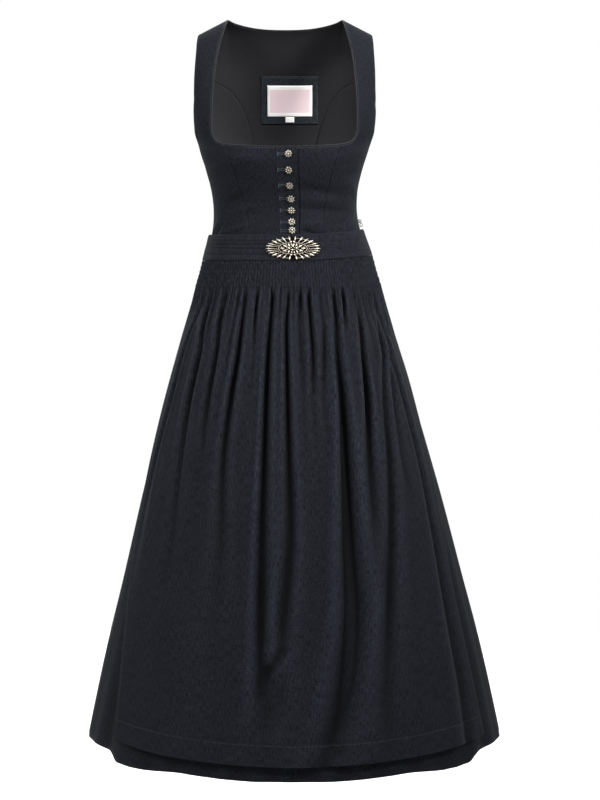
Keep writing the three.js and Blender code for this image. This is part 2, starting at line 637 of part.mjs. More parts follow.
// One half of the oval clasp: petals spread like rays round a raised leaf and bud. It lies in the
// plane of X and Z, from the joint outwards, and faces -Y.
const PETALS = 11;
function claspHalfGeometry() {
  const [reachX, reachZ] = [CLASP_WIDTH / 2, CLASP_HEIGHT / 2];
  const at = (degrees, share) => new THREE.Vector2(
    0.7 + reachX * share * Math.cos(degrees * DEG), reachZ * share * Math.sin(degrees * DEG));
  const step = 180 / PETALS;
  const petals = Array.from({ length: PETALS }, (_, i) => -90 + step * (i + 0.5));
  const edge = petals.flatMap((turn) => [
    at(turn - 0.42 * step, 0.74), at(turn - 0.34 * step, 0.93), at(turn, 1),
    at(turn + 0.34 * step, 0.93), at(turn + 0.42 * step, 0.74),
  ]);
  const flat = (corners, thickness) => new THREE.ExtrudeGeometry(new THREE.Shape(corners), {
    depth: thickness, bevelEnabled: false,
  });
  const bands = steps(8).map((share) => -90 + 180 * share);
  const ridges = petals.map((turn) => {
    const run = at(turn, 0.95).sub(at(turn, 0.6));
    const ridge = new THREE.ConeGeometry(1.9, run.length(), 4).rotateX(180 * DEG).scale(1, 1, 0.7);
    const middle = at(turn, 0.775);
    return ridge.rotateZ(Math.atan2(run.y, run.x) - 90 * DEG).translate(middle.x, middle.y, 1.7);
  });
  const beads = [-54, -18, 18, 54].map((turn) => {
    const middle = at(turn, 0.36);
    return new THREE.OctahedronGeometry(2.6, 0).translate(middle.x, middle.y, 2.9);
  });
  const bud = new THREE.OctahedronGeometry(4.6, 0).scale(1, 1, 0.8).translate(5.6, 0, 2.9);
  const leaf = flat(bands.map((turn) => at(turn, 0.56)), 2.6);
  return joined([flat(edge, 1.7), leaf, ...ridges, ...beads, bud]).rotateX(90 * DEG);
}

// The same shape on the other side of the plane between the two halves.
function mirroredShape(geometry) {
  const other = geometry.clone().scale(-1, 1, 1);
  const corners = Array.from(other.index.array);
  other.setIndex(corners.map((corner, i) => corners[i % 3 === 1 ? i + 1 : i % 3 === 2 ? i - 1 : i]));
  return other;
}
const claspHalf = claspHalfGeometry();
const CLASP_OUT = BELT_OUT + 3 * GAP;
addPiece("clasp_left", laidOnBody(claspHalf, CLASP_X, CLASP_DEPTH, CLASP_OUT), "metal");
addPiece("clasp_right", laidOnBody(mirroredShape(claspHalf), CLASP_X, CLASP_DEPTH, CLASP_OUT), "metal");

// Zip in the left side seam: its tape inside, and the slider and pull ring just above the belt.
const ZIP = { top: ARMPIT_DEPTH + 8, bottom: 368, halfWidth: 6, slider: 344 };
const tapeRows = steps(8).map((share) => {
  const depth = mix(ZIP.top, ZIP.bottom, share);
  const half = degreesFor(ZIP.halfWidth, depth) * 0.5;
  return placesBetween({ angle: 90 - half, depth }, { angle: 90 + half, depth }, 2);
});
addPiece("zip_tape", clothWall(tapeRows, LINING_OUT - 0.45, LINING), "lining");

// The slider stands on the side seam and faces +X. Its bridge holds the bar of the pull ring.
const PULL = { bar: 0.55, eyeHalf: 1.9, arm: 4.4, ring: 3, wire: 0.7, axisOut: 3.9 };
const zipGroup = new THREE.Group();
zipGroup.position.copy(onBody(90, ZIP.slider));
const [seamTop, seamLow] = [onBody(90, ZIP.slider - 8), onBody(90, ZIP.slider + 12)];
zipGroup.rotation.y = -Math.atan2(seamLow.x - seamTop.x, seamTop.z - seamLow.z);
dress.add(zipGroup);
function sliderGeometry() {
  const outline = new THREE.Shape([[-2.6, 3.4], [2.6, 3.4], [3.2, 1], [2.2, -3.4], [-2.2, -3.4], [-3.2, 1]]
    .map(([y, z]) => new THREE.Vector2(y, z)));
  const plate = new THREE.ExtrudeGeometry(outline, { depth: 1.8, bevelEnabled: false });
  plate.rotateX(90 * DEG).rotateZ(90 * DEG).translate(2 * GAP, 0, 0);
  const bridgeOutline = new THREE.Shape();
  const [low, high] = [GAP + 1.2, PULL.axisOut + 1.9];
  bridgeOutline.moveTo(low, -2.9);
  bridgeOutline.lineTo(high - 1, -2.9);
  bridgeOutline.lineTo(high, -1.7);
  bridgeOutline.lineTo(high, 1.7);
  bridgeOutline.lineTo(high - 1, 2.9);
  bridgeOutline.lineTo(low, 2.9);
  bridgeOutline.lineTo(low, 1.9);
  bridgeOutline.lineTo(high - 1.2, 1.9);
  bridgeOutline.lineTo(high - 0.9, 1.3);
  bridgeOutline.lineTo(high - 0.9, -1.3);
  bridgeOutline.lineTo(high - 1.2, -1.9);
  bridgeOutline.lineTo(low, -1.9);
  bridgeOutline.closePath();
  const bridge = new THREE.ExtrudeGeometry(bridgeOutline, { depth: 1.4, bevelEnabled: false });
  bridge.rotateX(90 * DEG).translate(0, 0.7, 0);
  return joined([plate, bridge]);
}
addPiece("zip_slider", sliderGeometry(), "metal", zipGroup);

function pullGeometry() {
  const rod = (radius, length) => new THREE.CylinderGeometry(radius, radius, length, 6);
  const bar = rod(PULL.bar, 2 * PULL.eyeHalf + 1);
  const arms = [-1, 1].map((side) => rod(PULL.bar, PULL.arm).rotateX(90 * DEG)
    .translate(0, side * PULL.eyeHalf, -PULL.arm / 2));
  const foot = rod(PULL.bar, 2 * PULL.eyeHalf + 1).translate(0, 0, -PULL.arm);
  const ring = new THREE.TorusGeometry(PULL.ring, PULL.wire, 5, 12).rotateX(90 * DEG)
    .rotateZ(40 * DEG).translate(0, 0, -PULL.arm - PULL.ring);
  return joined([bar, ...arms, foot, ring]);
}
const pull = addPiece("zip_pull", pullGeometry(), "metal", zipGroup);
pull.position.x = PULL.axisOut;

export default dress;
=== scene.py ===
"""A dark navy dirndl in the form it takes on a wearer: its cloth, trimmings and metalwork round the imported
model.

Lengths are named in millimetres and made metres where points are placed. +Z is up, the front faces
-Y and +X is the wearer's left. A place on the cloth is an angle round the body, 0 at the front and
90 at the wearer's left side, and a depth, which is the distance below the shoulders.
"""

import logging
import math
import random
from dataclasses import dataclass, field
from enum import Enum
from typing import Callable, Sequence

import bmesh
import bpy
import numpy as np
from mathutils import Matrix, Vector


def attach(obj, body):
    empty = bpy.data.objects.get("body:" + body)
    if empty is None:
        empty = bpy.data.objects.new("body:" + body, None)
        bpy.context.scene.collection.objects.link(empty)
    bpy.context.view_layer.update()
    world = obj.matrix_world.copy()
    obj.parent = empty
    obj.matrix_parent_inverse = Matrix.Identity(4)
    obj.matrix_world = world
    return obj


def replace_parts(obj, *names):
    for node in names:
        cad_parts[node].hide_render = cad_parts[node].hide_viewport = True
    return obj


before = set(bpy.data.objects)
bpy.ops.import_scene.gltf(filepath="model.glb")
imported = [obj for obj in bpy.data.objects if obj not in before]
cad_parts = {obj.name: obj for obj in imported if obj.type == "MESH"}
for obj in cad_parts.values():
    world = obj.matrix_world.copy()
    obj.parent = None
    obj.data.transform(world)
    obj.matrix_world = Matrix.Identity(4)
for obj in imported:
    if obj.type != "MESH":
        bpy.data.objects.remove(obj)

MM = 0.001
DRESS_BODY = "dress"
PULL_BODY = "pull"
# Pieces that lie on each other are GAP apart, and edges that meet are moved SEAM off their seam.
GAP = 0.3
SEAM = 0.02
CLOTH = 1.5
LINING = 1.0
NECK_HALF_WIDTH = 103.0
NECK_RISE = 12.6
SHOULDER_SLOPE = 0.51
SHOULDER_FADE = 170.0
SHOULDER_HALF_WIDTH = 155.0
BACK_NECK_DIP = 14.9
NECKLINE_DEPTH = 218.0
NECKLINE_CURVE = 5.0
ARMPIT_DEPTH = 205.0
WAIST_DEPTH = 402.0
BELT_TOP = 369.0
BELT_BOTTOM = 415.0
BELT_RISE = 10.0
SMOCK_END = 464.0
HEM_DEPTH = 1289.0
HEM_RISE = 20.0
APRON_HEM_DEPTH = 1263.0
SHOULDER_SEAM = 0.0004
SKIRT_FOLDS = 36
FOLD_FADE = 130.0
SHELL_SPACE = 2.4
Points = np.ndarray
log = logging.getLogger("dirndl")


class Side(Enum):
    """The wearer's right and left."""

    RIGHT = -1
    LEFT = 1


class Edge(Enum):
    """The edges of a cut piece, as it is seen from outside."""

    TOP = "top"
    BOTTOM = "bottom"
    RIGHT = "right"
    LEFT = "left"


def ease(low: float, high: float, value: Points) -> Points:
    """Gives a smooth step.

    Args:
        low: where it is 0.
        high: where it is 1.
        value: the numbers to look up.

    Returns:
        The step at each number.
    """
    share = np.clip((value - low) / (high - low), 0, 1)
    return share * share * (3 - 2 * share)


def mix(a: Points, b: Points, share: Points) -> Points:
    """Returns what lies between a and b at a share of the way."""
    return a + (b - a) * share


def smooth_lookup(keys: Points, values: Points, at: Points) -> Points:
    """Looks numbers up on a smooth curve through a table's points.

    Args:
        keys: the rising key column.
        values: the column that is looked up.
        at: the keys asked for.

    Returns:
        The values there.
    """
    last = len(keys) - 1
    at = np.clip(at, keys[0], keys[last])
    i = np.clip(np.searchsorted(keys, at, side="right") - 1, 0, last - 1)
    before, after = np.maximum(np.arange(last + 1) - 1, 0), np.minimum(np.arange(last + 1) + 1, last)
    slope = (values[after] - values[before]) / (keys[after] - keys[before])
    length = keys[i + 1] - keys[i]
    t = (at - keys[i]) / length
    return (values[i] * (2 * t**3 - 3 * t**2 + 1) + values[i + 1] * (3 * t**2 - 2 * t**3)
            + slope[i] * length * (t**3 - 2 * t**2 + t) + slope[i + 1] * length * (t**3 - t**2))


@dataclass(frozen=True)
class DressForm:
    """The body of the dress as it sits on a wearer: level sections, the shoulder slope and the bust's
    fullness.
    """

    sections: tuple[tuple[float, ...], ...] = (
        # depth, half-width, front, back, squareness, lean to the left
        (0, 174, 0, 0, 4, -1.5),
        (10, 174, 26, 27, 4, -1.5),
        (40, 173, 47, 52, 3.6, -1.5),
        (100, 171, 73, 80, 3, -2),
        (150, 169, 94, 98, 2.7, -2),
        (185, 162.5, 109, 106, 2.5, -2.5),
        (205, 154.5, 115, 108, 2.4, -3),
        (225, 148.5, 117, 109, 2.4, -3.5),
        (254, 139.5, 113, 105, 2.35, -3.5),
        (283, 132, 105, 99, 2.3, -3),
        (310, 128.6, 98.5, 94, 2.3, -2),
        (333, 128.6, 96, 92, 2.3, -1),
        (355, 131.5, 98, 94, 2.25, 0.5),
        (376, 137, 102, 98, 2.2, 2),
        (405, 146, 107, 106, 2.2, 3.4),
        (437, 154.5, 117, 118, 2.15, 4),
        (473, 166, 128, 133, 2.1, 4.5),
        (545, 188, 147, 158, 2.1, 5.4),
        (689, 231, 178, 195, 2.05, 7.5),
        (833, 270.5, 207, 225, 2, 10),
        (977, 306.5, 235, 251, 2, 12),
        (1121, 343, 266, 272, 2, 13.5),
        (HEM_DEPTH, 380, 300, 293, 2, 14.5),
    )
    bust_x: float = 72.0
    bust_depth: float = 240.0
    bust_reach: tuple[float, float] = (42.0, 46.0)
    bust_fullness: float = 7.0

    def column(self, number: int, root: Points) -> Points:
        """Returns a column of the sections at roots of depths."""
        rows = np.array(self.sections)
        return smooth_lookup(np.sqrt(rows[:, 0]), rows[:, number], root)

    def surface(self, angle: Points, root: Points) -> Points:
        """Finds points of the body's surface.

        Args:
            angle: degrees round the body.
            root: square roots of the depths, which keep the shoulders round.

        Returns:
            The points in millimetres, with X, Y and Z last.
        """
        side, front, back, square, lean = (self.column(n, root) for n in range(1, 6))
        sin, cos = np.sin(np.radians(angle)), np.cos(np.radians(angle))
        reach = (np.abs(sin) ** square + np.abs(cos) ** square) ** (-1 / square)
        depth = root * root
        x = side * reach * sin
        y = np.where(cos > 0, -front, -back) * reach * cos
        rise = NECK_RISE - SHOULDER_SLOPE * np.maximum(0, np.abs(x) - NECK_HALF_WIDTH)
        rise = rise * (1 - ease(0, SHOULDER_FADE, depth))
        across = (np.abs(x) - self.bust_x) / self.bust_reach[0]
        down = (depth - self.bust_depth) / self.bust_reach[1]
        full = np.where(cos > 0, self.bust_fullness * np.exp(-across**2 - down**2), 0)
        return np.stack([x + lean, y - full, rise - depth], axis=-1)

    def at(self, angle: Points, depth: Points, out: Points = 0.0) -> Points:
        """Finds points moved out from the surface, square to it.

        Args:
            angle: degrees round the body.
            depth: distance below the shoulders.
            out: how far out of the surface.

        Returns:
            The points in millimetres.
        """
        angle, depth, out = np.broadcast_arrays(*(np.asarray(v, dtype=float) for v in (angle, depth, out)))
        root = np.sqrt(np.maximum(depth, 0))
        above = np.maximum(root - 0.01, 0)
        across = self.surface(angle + 0.05, root) - self.surface(angle - 0.05, root)
        down = self.surface(angle, above + 0.02) - self.surface(angle, above)
        normal = np.cross(down, across)
        normal = normal / np.linalg.norm(normal, axis=-1, keepdims=True)
        return self.surface(angle, root) + normal * out[..., None]

    def angle_of(self, x: Points, depth: Points, back: bool = False) -> Points:
        """Finds the angle of a place given by its distance from the middle.

        Args:
            x: the distance, towards the wearer's left.
            depth: distance below the shoulders.
            back: whether the place is on the back, where angles go on past 90.

        Returns:
            The angles in degrees, from 0 to 360 on the back.
        """
        x, depth = np.broadcast_arrays(np.asarray(x, dtype=float), np.asarray(depth, dtype=float))
        root = np.sqrt(np.maximum(depth, 0))
        square, side = self.column(4, root), self.column(1, root)
        share = np.minimum(np.abs(x) / side, 0.999) ** square
        front = np.degrees(np.arctan((share / (1 - share)) ** (1 / square)))
        if back:
            return np.where(x < 0, 180 + front, 180 - front)
        return np.where(x < 0, -front, front)


FORM = DressForm()


def degrees_for(length: float, depth: float) -> float:
    """Returns how many degrees round the body make up a length at a depth."""
    return length / float(np.linalg.norm(FORM.at(1, depth) - FORM.at(0, depth)))


# Edges of the cut pieces, as short tables.
STRAP = np.array([
    # inner x, inner depth, outer x, outer depth
    (103, 0, 155, 0), (104, 2, 155.3, 2), (106.5, 8, 156, 8), (110.5, 20, 157, 20), (116, 38, 158, 38),
    (121.5, 62, 159.5, 62), (125, 90, 160.5, 88), (127.5, 120, 161, 115), (128.5, 150, 161.5, 140),
    (129, 178, 161.5, 160), (127.5, 192, 160.8, 174), (122.5, 203, 159.5, 187), (112, 210, 155.4, 202),
])
FRONT_SEAM = np.array([(213, 101), (236, 92), (275, 80), (320, 70), (360, 66), (402, 68)], dtype=float)
BACK_SEAM = np.array([
    # depth, x
    (80, 149), (86, 138), (97, 118), (112, 98), (134, 80), (160, 68), (185, 60),
    (205, 56), (240, 52), (290, 49), (333, 47), (370, 50), (402, 54),
], dtype=float)
BACK_ARMHOLE = np.array([
    # x, depth
    (153, 76), (153, 92), (153.5, 110), (154.5, 130), (156, 152), (157.4, 175), (155.8, 201),
])
UPPER_SEAM_DEPTHS = (80, 86, 97, 112, 134, 160, 185)
LOWER_SHARES = (0, 0.18, 0.36, 0.52, 0.65, 0.77, 0.88, 1)
BUTTON_LINE = np.array([
    # depth, x
    (213, 8.4), (256, 8.9), (283, 10.2), (306, 11.2), (326, 11.2), (347, 10.6), (370, 9.8), (402, 9.4),
])
BUTTONS = (
    # depth, how far out it sits
    (229, -0.6), (256, 0.2), (282.5, 0.9), (305.5, 0.9), (326, 0.9), (347, 0.9), (361.8, 0.9),
)
APRON_EDGES = np.array([
    # depth, right edge, left edge
    (BELT_BOTTOM, -86, 86), (560, -84, 82), (760, -79, 74), (977, -69.5, 65.5), (1070, -64, 64),
    (1165, -60, 63.5), (APRON_HEM_DEPTH, -57, 63.5),
])


def button_line(depth: Points) -> Points:
    """Returns how far the line of the buttons lies from the middle, at depths."""
    return smooth_lookup(BUTTON_LINE[:, 0], BUTTON_LINE[:, 1], np.asarray(depth, dtype=float))


def neckline_depth(x: Points) -> Points:
    """Returns the depth of the neckline's lower edge at distances from the middle."""
    return NECKLINE_DEPTH - NECKLINE_CURVE * (x / FRONT_SEAM[0, 1]) ** 2


def belt_rise(angle: Points) -> Points:
    """Returns how far the belt rises at angles, which it does on the wearer's left alone."""
    sin = np.sin(np.radians(angle))
    return np.where(sin > 0, BELT_RISE * sin**2, 0)


def front_seam(depth: Points) -> Points:
    """Returns how far the seam of the left front lies from the middle, at depths."""
    return smooth_lookup(FRONT_SEAM[:, 0], FRONT_SEAM[:, 1], depth)


def back_seam(depth: Points) -> Points:
    """Returns how far the curved seam of the left back lies from the middle, at depths."""
    return smooth_lookup(BACK_SEAM[:, 0], BACK_SEAM[:, 1], depth)


def apron_edge(side: Side, depth: Points) -> Points:
    """Returns the angle of the apron's edge on one of the wearer's sides, at depths."""
    return smooth_lookup(APRON_EDGES[:, 0], APRON_EDGES[:, 1 if side is Side.RIGHT else 2], depth)


def hem_rise(angle: Points, depth: Points) -> Points:
    """Returns how far the cloth is higher at the sides, which grows from the belt to the hem."""
    return HEM_RISE * ease(BELT_BOTTOM, HEM_DEPTH, depth) * np.sin(np.radians(angle)) ** 2


def from_front(angle: Points) -> Points:
    """Returns angles as -180 to 180, with 0 at the front."""
    return np.where(angle > 180, angle - 360, angle)


def back_neck_depth(x: Points) -> Points:
    """Returns the depth of the neckline's back edge at distances from the middle."""
    return np.maximum(BACK_NECK_DIP * (1 - np.abs(x / NECK_HALF_WIDTH) ** 2.6), SHOULDER_SEAM)


def beside_seam(angle: float, depth: float, direction: int) -> tuple[float, float]:
    """Returns an edge place moved off a seam, so that two pieces meet there and don't cross."""
    return angle + direction * degrees_for(SEAM, depth), depth


def between(start: tuple[float, float], end: tuple[float, float], shares: Sequence[float]) -> Points:
    """Returns places between two edge places, at shares of the way."""
    share = np.asarray(shares)[:, None]
    return mix(np.array(start)[None, :], np.array(end)[None, :], share)


def mirrored(places: Points) -> Points:
    """Mirrors a piece.

    Args:
        places: its places.

    Returns:
        The places on the wearer's other side, still in order from right to left.
    """
    other = places[:, ::-1].copy()
    other[..., 0] *= -1
    return other


def side_front_places() -> Points:
    """Lays out the left side front with its strap.

    Returns:
        Rows of places, from the shoulder to the waist.
    """
    rows = []
    for inner_x, inner, outer_x, outer in STRAP:
        inner, outer = max(inner, SHOULDER_SEAM), max(outer, SHOULDER_SEAM)
        rows.append(between((float(FORM.angle_of(inner_x, inner)), inner),
                            (float(FORM.angle_of(outer_x, outer)), outer), np.linspace(0, 1, 6)))
    for share in LOWER_SHARES:
        inner = mix(FRONT_SEAM[0, 0], WAIST_DEPTH, share)
        seam = float(FORM.angle_of(front_seam(inner), inner))
        side_seam = beside_seam(90, mix(ARMPIT_DEPTH, WAIST_DEPTH, share), -1)
        rows.append(between(beside_seam(seam, inner, 1), side_seam, np.linspace(0, 1, 6)))
    return np.array(rows)


def front_places(side: Side, lap: float) -> Points:
    """Gives a centre front's places.

    Args:
        side: whose front it is.
        lap: how far it goes past the line of the buttons.

    Returns:
        Rows of places, from the neckline to the waist.
    """
    sign = side.value
    rows = []
    for share in LOWER_SHARES:
        seam_depth = mix(FRONT_SEAM[0, 0], WAIST_DEPTH, share)
        row = []
        for part in np.linspace(0, 1, 9):
            guess = mix(sign * front_seam(seam_depth), button_line(seam_depth) - sign * lap, part)
            depth = seam_depth if part == 0 else mix(neckline_depth(guess), WAIST_DEPTH, share)
            x = mix(sign * front_seam(depth), button_line(depth) - sign * lap, part)
            angle = float(FORM.angle_of(x, depth))
            row.append(beside_seam(angle, depth, -sign) if part == 0 else (angle, depth))
        rows.append(row if sign < 0 else row[::-1])
    return np.array(rows, dtype=float)


def back_places() -> Points:
    """Lays out the back between its curved seams.

    Returns:
        Rows of places, from the shoulders to the waist.
    """
    columns = np.array([-1, -0.83, -0.665, -0.6, -0.47, -0.25, 0, 0.25, 0.47, 0.6, 0.665, 0.83, 1])[::-1]
    rows = []
    for share in (0, 0.04, 0.16, 0.36, 0.64):
        x = mix(SHOULDER_HALF_WIDTH, BACK_ARMHOLE[0, 0], share) * columns
        depth = mix(back_neck_depth(x), float(UPPER_SEAM_DEPTHS[0]), share)
        rows.append(np.stack([FORM.angle_of(x, depth, True), depth], axis=-1))
    for depth in (*UPPER_SEAM_DEPTHS, *(mix(ARMPIT_DEPTH, WAIST_DEPTH, s) for s in LOWER_SHARES)):
        angle = FORM.angle_of(back_seam(depth) * columns, depth, True)
        rows.append(np.stack([angle, np.full_like(angle, depth)], axis=-1))
    return np.array(rows)


def side_back_places() -> Points:
    """Lays out the left side back.

    Returns:
        Rows of places, from the armhole to the waist.
    """
    shares = (0, 0.06, 0.3, 0.54, 0.77, 1)
    rows = []
    for depth, (hole_x, hole_depth) in zip(UPPER_SEAM_DEPTHS, BACK_ARMHOLE):
        seam = float(FORM.angle_of(back_seam(depth), depth, True))
        start = (float(FORM.angle_of(hole_x, hole_depth, True)), hole_depth)
        rows.append(between(start, beside_seam(seam, depth, -1), shares))
    for share in LOWER_SHARES:
        depth = mix(ARMPIT_DEPTH, WAIST_DEPTH, share)
        seam = float(FORM.angle_of(back_seam(depth), depth, True))
        rows.append(between(beside_seam(90, depth, 1), beside_seam(seam, depth, -1), shares))
    return np.array(rows)


def resampled(places: Points, rows: int, columns: int, corner: int = 0) -> Points:
    """Gives a finer net of places on smooth curves through a coarse one.

    Args:
        places: the coarse net.
        rows: steps from top to bottom.
        columns: steps from the wearer's right to the left.
        corner: the coarse row where the edges may turn sharply, or 0 for none.

    Returns:
        A net with one more row and column than steps.
    """
    down = np.linspace(0, len(places) - 1, rows + 1)
    across = np.linspace(0, places.shape[1] - 1, columns + 1)
    fine = np.empty((rows + 1, places.shape[1], 2))
    keys = np.arange(len(places), dtype=float)
    spans = ((0, corner + 1), (corner, len(places))) if corner else ((0, len(places)),)
    for first, last in spans:
        inside = (down >= first) & (down <= last - 1)
        for j in range(places.shape[1]):
            for k in range(2):
                fine[inside, j, k] = smooth_lookup(keys[first:last], places[first:last, j, k], down[inside])
    finer = np.empty((rows + 1, columns + 1, 2))
    for i in range(rows + 1):
        for k in range(2):
            finer[i, :, k] = smooth_lookup(np.arange(places.shape[1], dtype=float), fine[i, :, k], across)
    return finer


def under_apron(angle: Points, depth: Points) -> Points:
    """Returns 1 in the middle of the apron and 0 at its side edges."""
    right, left = apron_edge(Side.RIGHT, depth), apron_edge(Side.LEFT, depth)
    return ease(0, 1, (angle - right) / 14) * (1 - ease(0, 1, (angle - left + 12) / 12))


@dataclass(frozen=True)
class HungFold:
    """A long fold of the apron: a trough between two soft crests, which wanders and dies away.

    Its width in degrees is given at the smocking and at the hem. Past 1, steep makes the trough
    steeper on the wearer's right.
    """

    run: tuple[tuple[float, float, float], ...]
    width: tuple[float, float] = (1.4, 2.6)
    steep: float = 1.0

    def relief(self, angle: Points, depth: Points) -> Points:
        """Finds its height at places.

        Args:
            angle: degrees round the body.
            depth: distance below the shoulders.

        Returns:
            How far it lifts the cloth there, which is below 0 in the trough.
        """
        depths, angles, deeps = np.array(self.run, dtype=float).T
        away = angle - smooth_lookup(depths, angles, depth)
        deep = np.maximum(smooth_lookup(depths, deeps, depth), 0)
        deep = deep * (1 - ease(depths[-1], depths[-1] + FOLD_FADE, depth))
        width = mix(*self.width, ease(SMOCK_END, HEM_DEPTH, depth))
        width = width * np.where(away < 0, 1 / self.steep, self.steep)
        crest = np.exp(-(((np.abs(away) - 2.1 * width) / (1.1 * width)) ** 2))
        return deep * (0.3 * crest - np.exp(-((away / width) ** 2)))


# The apron's folds as they hang, each by its depths, its angles there and how deep it is.
HUNG_FOLDS = (
    HungFold(((484, -59, 4), (519, -64, 6), (572, -67, 8), (661, -67.5, 7), (767, -70, 5), (908, -68, 3))),
    HungFold(((483, -51.5, 8), (518, -53, 10), (571, -51, 10), (658, -51, 7), (761, -49, 4), (898, -46, 2))),
    HungFold(((483, -40, 9), (518, -40.5, 10), (569, -39, 9), (656, -39, 6), (758, -38, 1))),
    HungFold(((483, -30.5, 6), (517, -31, 3)), (1.1, 1.5)),
    HungFold(((483, -26, 9), (568, -26, 12), (654, -27, 10), (756, -27.5, 6.5), (891, -25.5, 4),
              (1025, -25, 1))),
    HungFold(((482, -18.5, 11), (517, -18.5, 8), (568, -18, 2)), (1.1, 1.5)),
    HungFold(((482, -9.5, 11), (568, -10.5, 13), (755, -10.5, 11), (889, -10.5, 10), (1022, -10, 10),
              (1090, -9.5, 9)), (1.3, 1.9), 1.15),
    HungFold(((1075, -9, 0.5), (1110, -7, 6), (1165, -6, 6), (1215, -8, 2)), (2.6, 3.2)),
    HungFold(((1060, -2, 0.5), (1085, -5, 4), (1120, -8, 3)), (1.4, 1.8)),
    HungFold(((482, 0, 7), (517, -1, 11), (568, -1, 10.5), (754, -0.5, 9), (888, -0.5, 8), (1021, -3, 7),
              (1100, -4, 3)), (1.1, 2.2)),
    HungFold(((482, 7, 7), (517, 6, 5), (568, 6, 4), (653, 6, 1)), (1.1, 1.5)),
    HungFold(((482, 12, 9), (517, 12, 8.5), (568, 12, 7), (653, 10.5, 2)), (1.1, 1.6)),
    HungFold(((482, 22, 1), (517, 20, 2), (568, 18, 5), (653, 15.5, 2)), (1.2, 1.6)),
    HungFold(((483, 28, 7), (568, 25, 10), (654, 24, 14), (756, 22, 18), (890, 20, 20), (1024, 18.5, 20),
              (1154, 14, 15), (1270, 8, 9)), (1.5, 4.0), 1.15),
    HungFold(((483, 34, 9), (517, 32, 5), (569, 30, 1)), (1.1, 1.5)),
    HungFold(((483, 45, 2), (518, 43, 6), (570, 40, 11), (655, 37, 14), (757, 33, 7), (893, 29.5, 1))),
    HungFold(((484, 60.5, 2), (519, 58.5, 5), (571, 55.5, 9), (657, 47.5, 6), (760, 43, 7), (895, 37, 8),
              (1028, 31, 7), (1159, 26.5, 4)), (1.5, 2.8)),
    HungFold(((484, 70, 2), (520, 70, 3), (572, 61.5, 4), (658, 54, 4), (761, 50, 2))),
    HungFold(((765, 62.5, 4.5), (904, 60, 7), (1042, 57.5, 9), (1183, 56, 8), (1270, 54, 6)), (1.4, 2.4)),
)


def apron_drape(angle: Points, depth: Points, out: float) -> Points:
    """Finds the folds of the apron below the smocking, which never reach the skirt behind it.

    Args:
        angle: degrees round the body.
        depth: distance below the shoulders.
        out: how far the apron's own level surface lies out.

    Returns:
        How far the cloth lies out of its level surface.
    """
    begun = ease(SMOCK_END - 6, SMOCK_END + 12, depth)
    hung = sum(fold.relief(angle, depth) for fold in HUNG_FOLDS)
    hung = hung * begun * mix(0.78, 1.1, ease(500, 640, depth))
    drape = under_apron(angle, depth) * (hung + sway(angle, depth)) + gathers(angle, depth)
    return np.maximum(drape, skirt_drape(angle, depth) + SHELL_SPACE - out)


def gathers(angle: Points, depth: Points) -> Points:
    """Finds the tucks that run out of the smocking, uneven in place, depth and length.

    Args:
        angle: degrees round the body.
        depth: distance below the shoulders.

    Returns:
        How far they press the cloth in, as a number below 0.
    """
    total = np.zeros_like(angle)
    source = random.Random(11)
    # Short fine tucks and long broad ones, each by its spacing, depth, width and end.
    for spacing, deeps, widths, ends in (((1.6, 3.0), (1.3, 2.8), (0.45, 0.65), (500, 600)),
                                         ((4.6, 9.0), (2.0, 4.2), (0.8, 1.2), (560, 820))):
        at = -86.0
        while at < 86:
            at += source.uniform(*spacing)
            deep, width = source.uniform(*deeps), source.uniform(*widths)
            end, lean = source.uniform(*ends), source.uniform(-1.8, 1.8)
            fall = np.clip((depth - SMOCK_END) / (end - SMOCK_END), 0, 1)
            away = (angle - at - lean * fall) / (width * (1 + 1.6 * fall))
            grown = ease(SMOCK_END - 8, SMOCK_END + 9, depth) * (1 - fall) ** 1.4
            total -= deep * grown * np.exp(-(away**2))
    return total


def sway(angle: Points, depth: Points) -> Points:
    """Finds the broad waves in which the apron's cloth hangs lower down.

    Args:
        angle: degrees round the body.
        depth: distance below the shoulders.

    Returns:
        How far they move the cloth out.
    """
    broad = 2.5 * ease(760, HEM_DEPTH, depth) * np.sin(np.radians(angle * 9) + 1)
    fine = 0.9 * ease(620, 900, depth) * np.sin(np.radians(angle * 17 + depth * 0.06))
    return broad + fine * np.sin(np.radians(angle * 4 + 25))


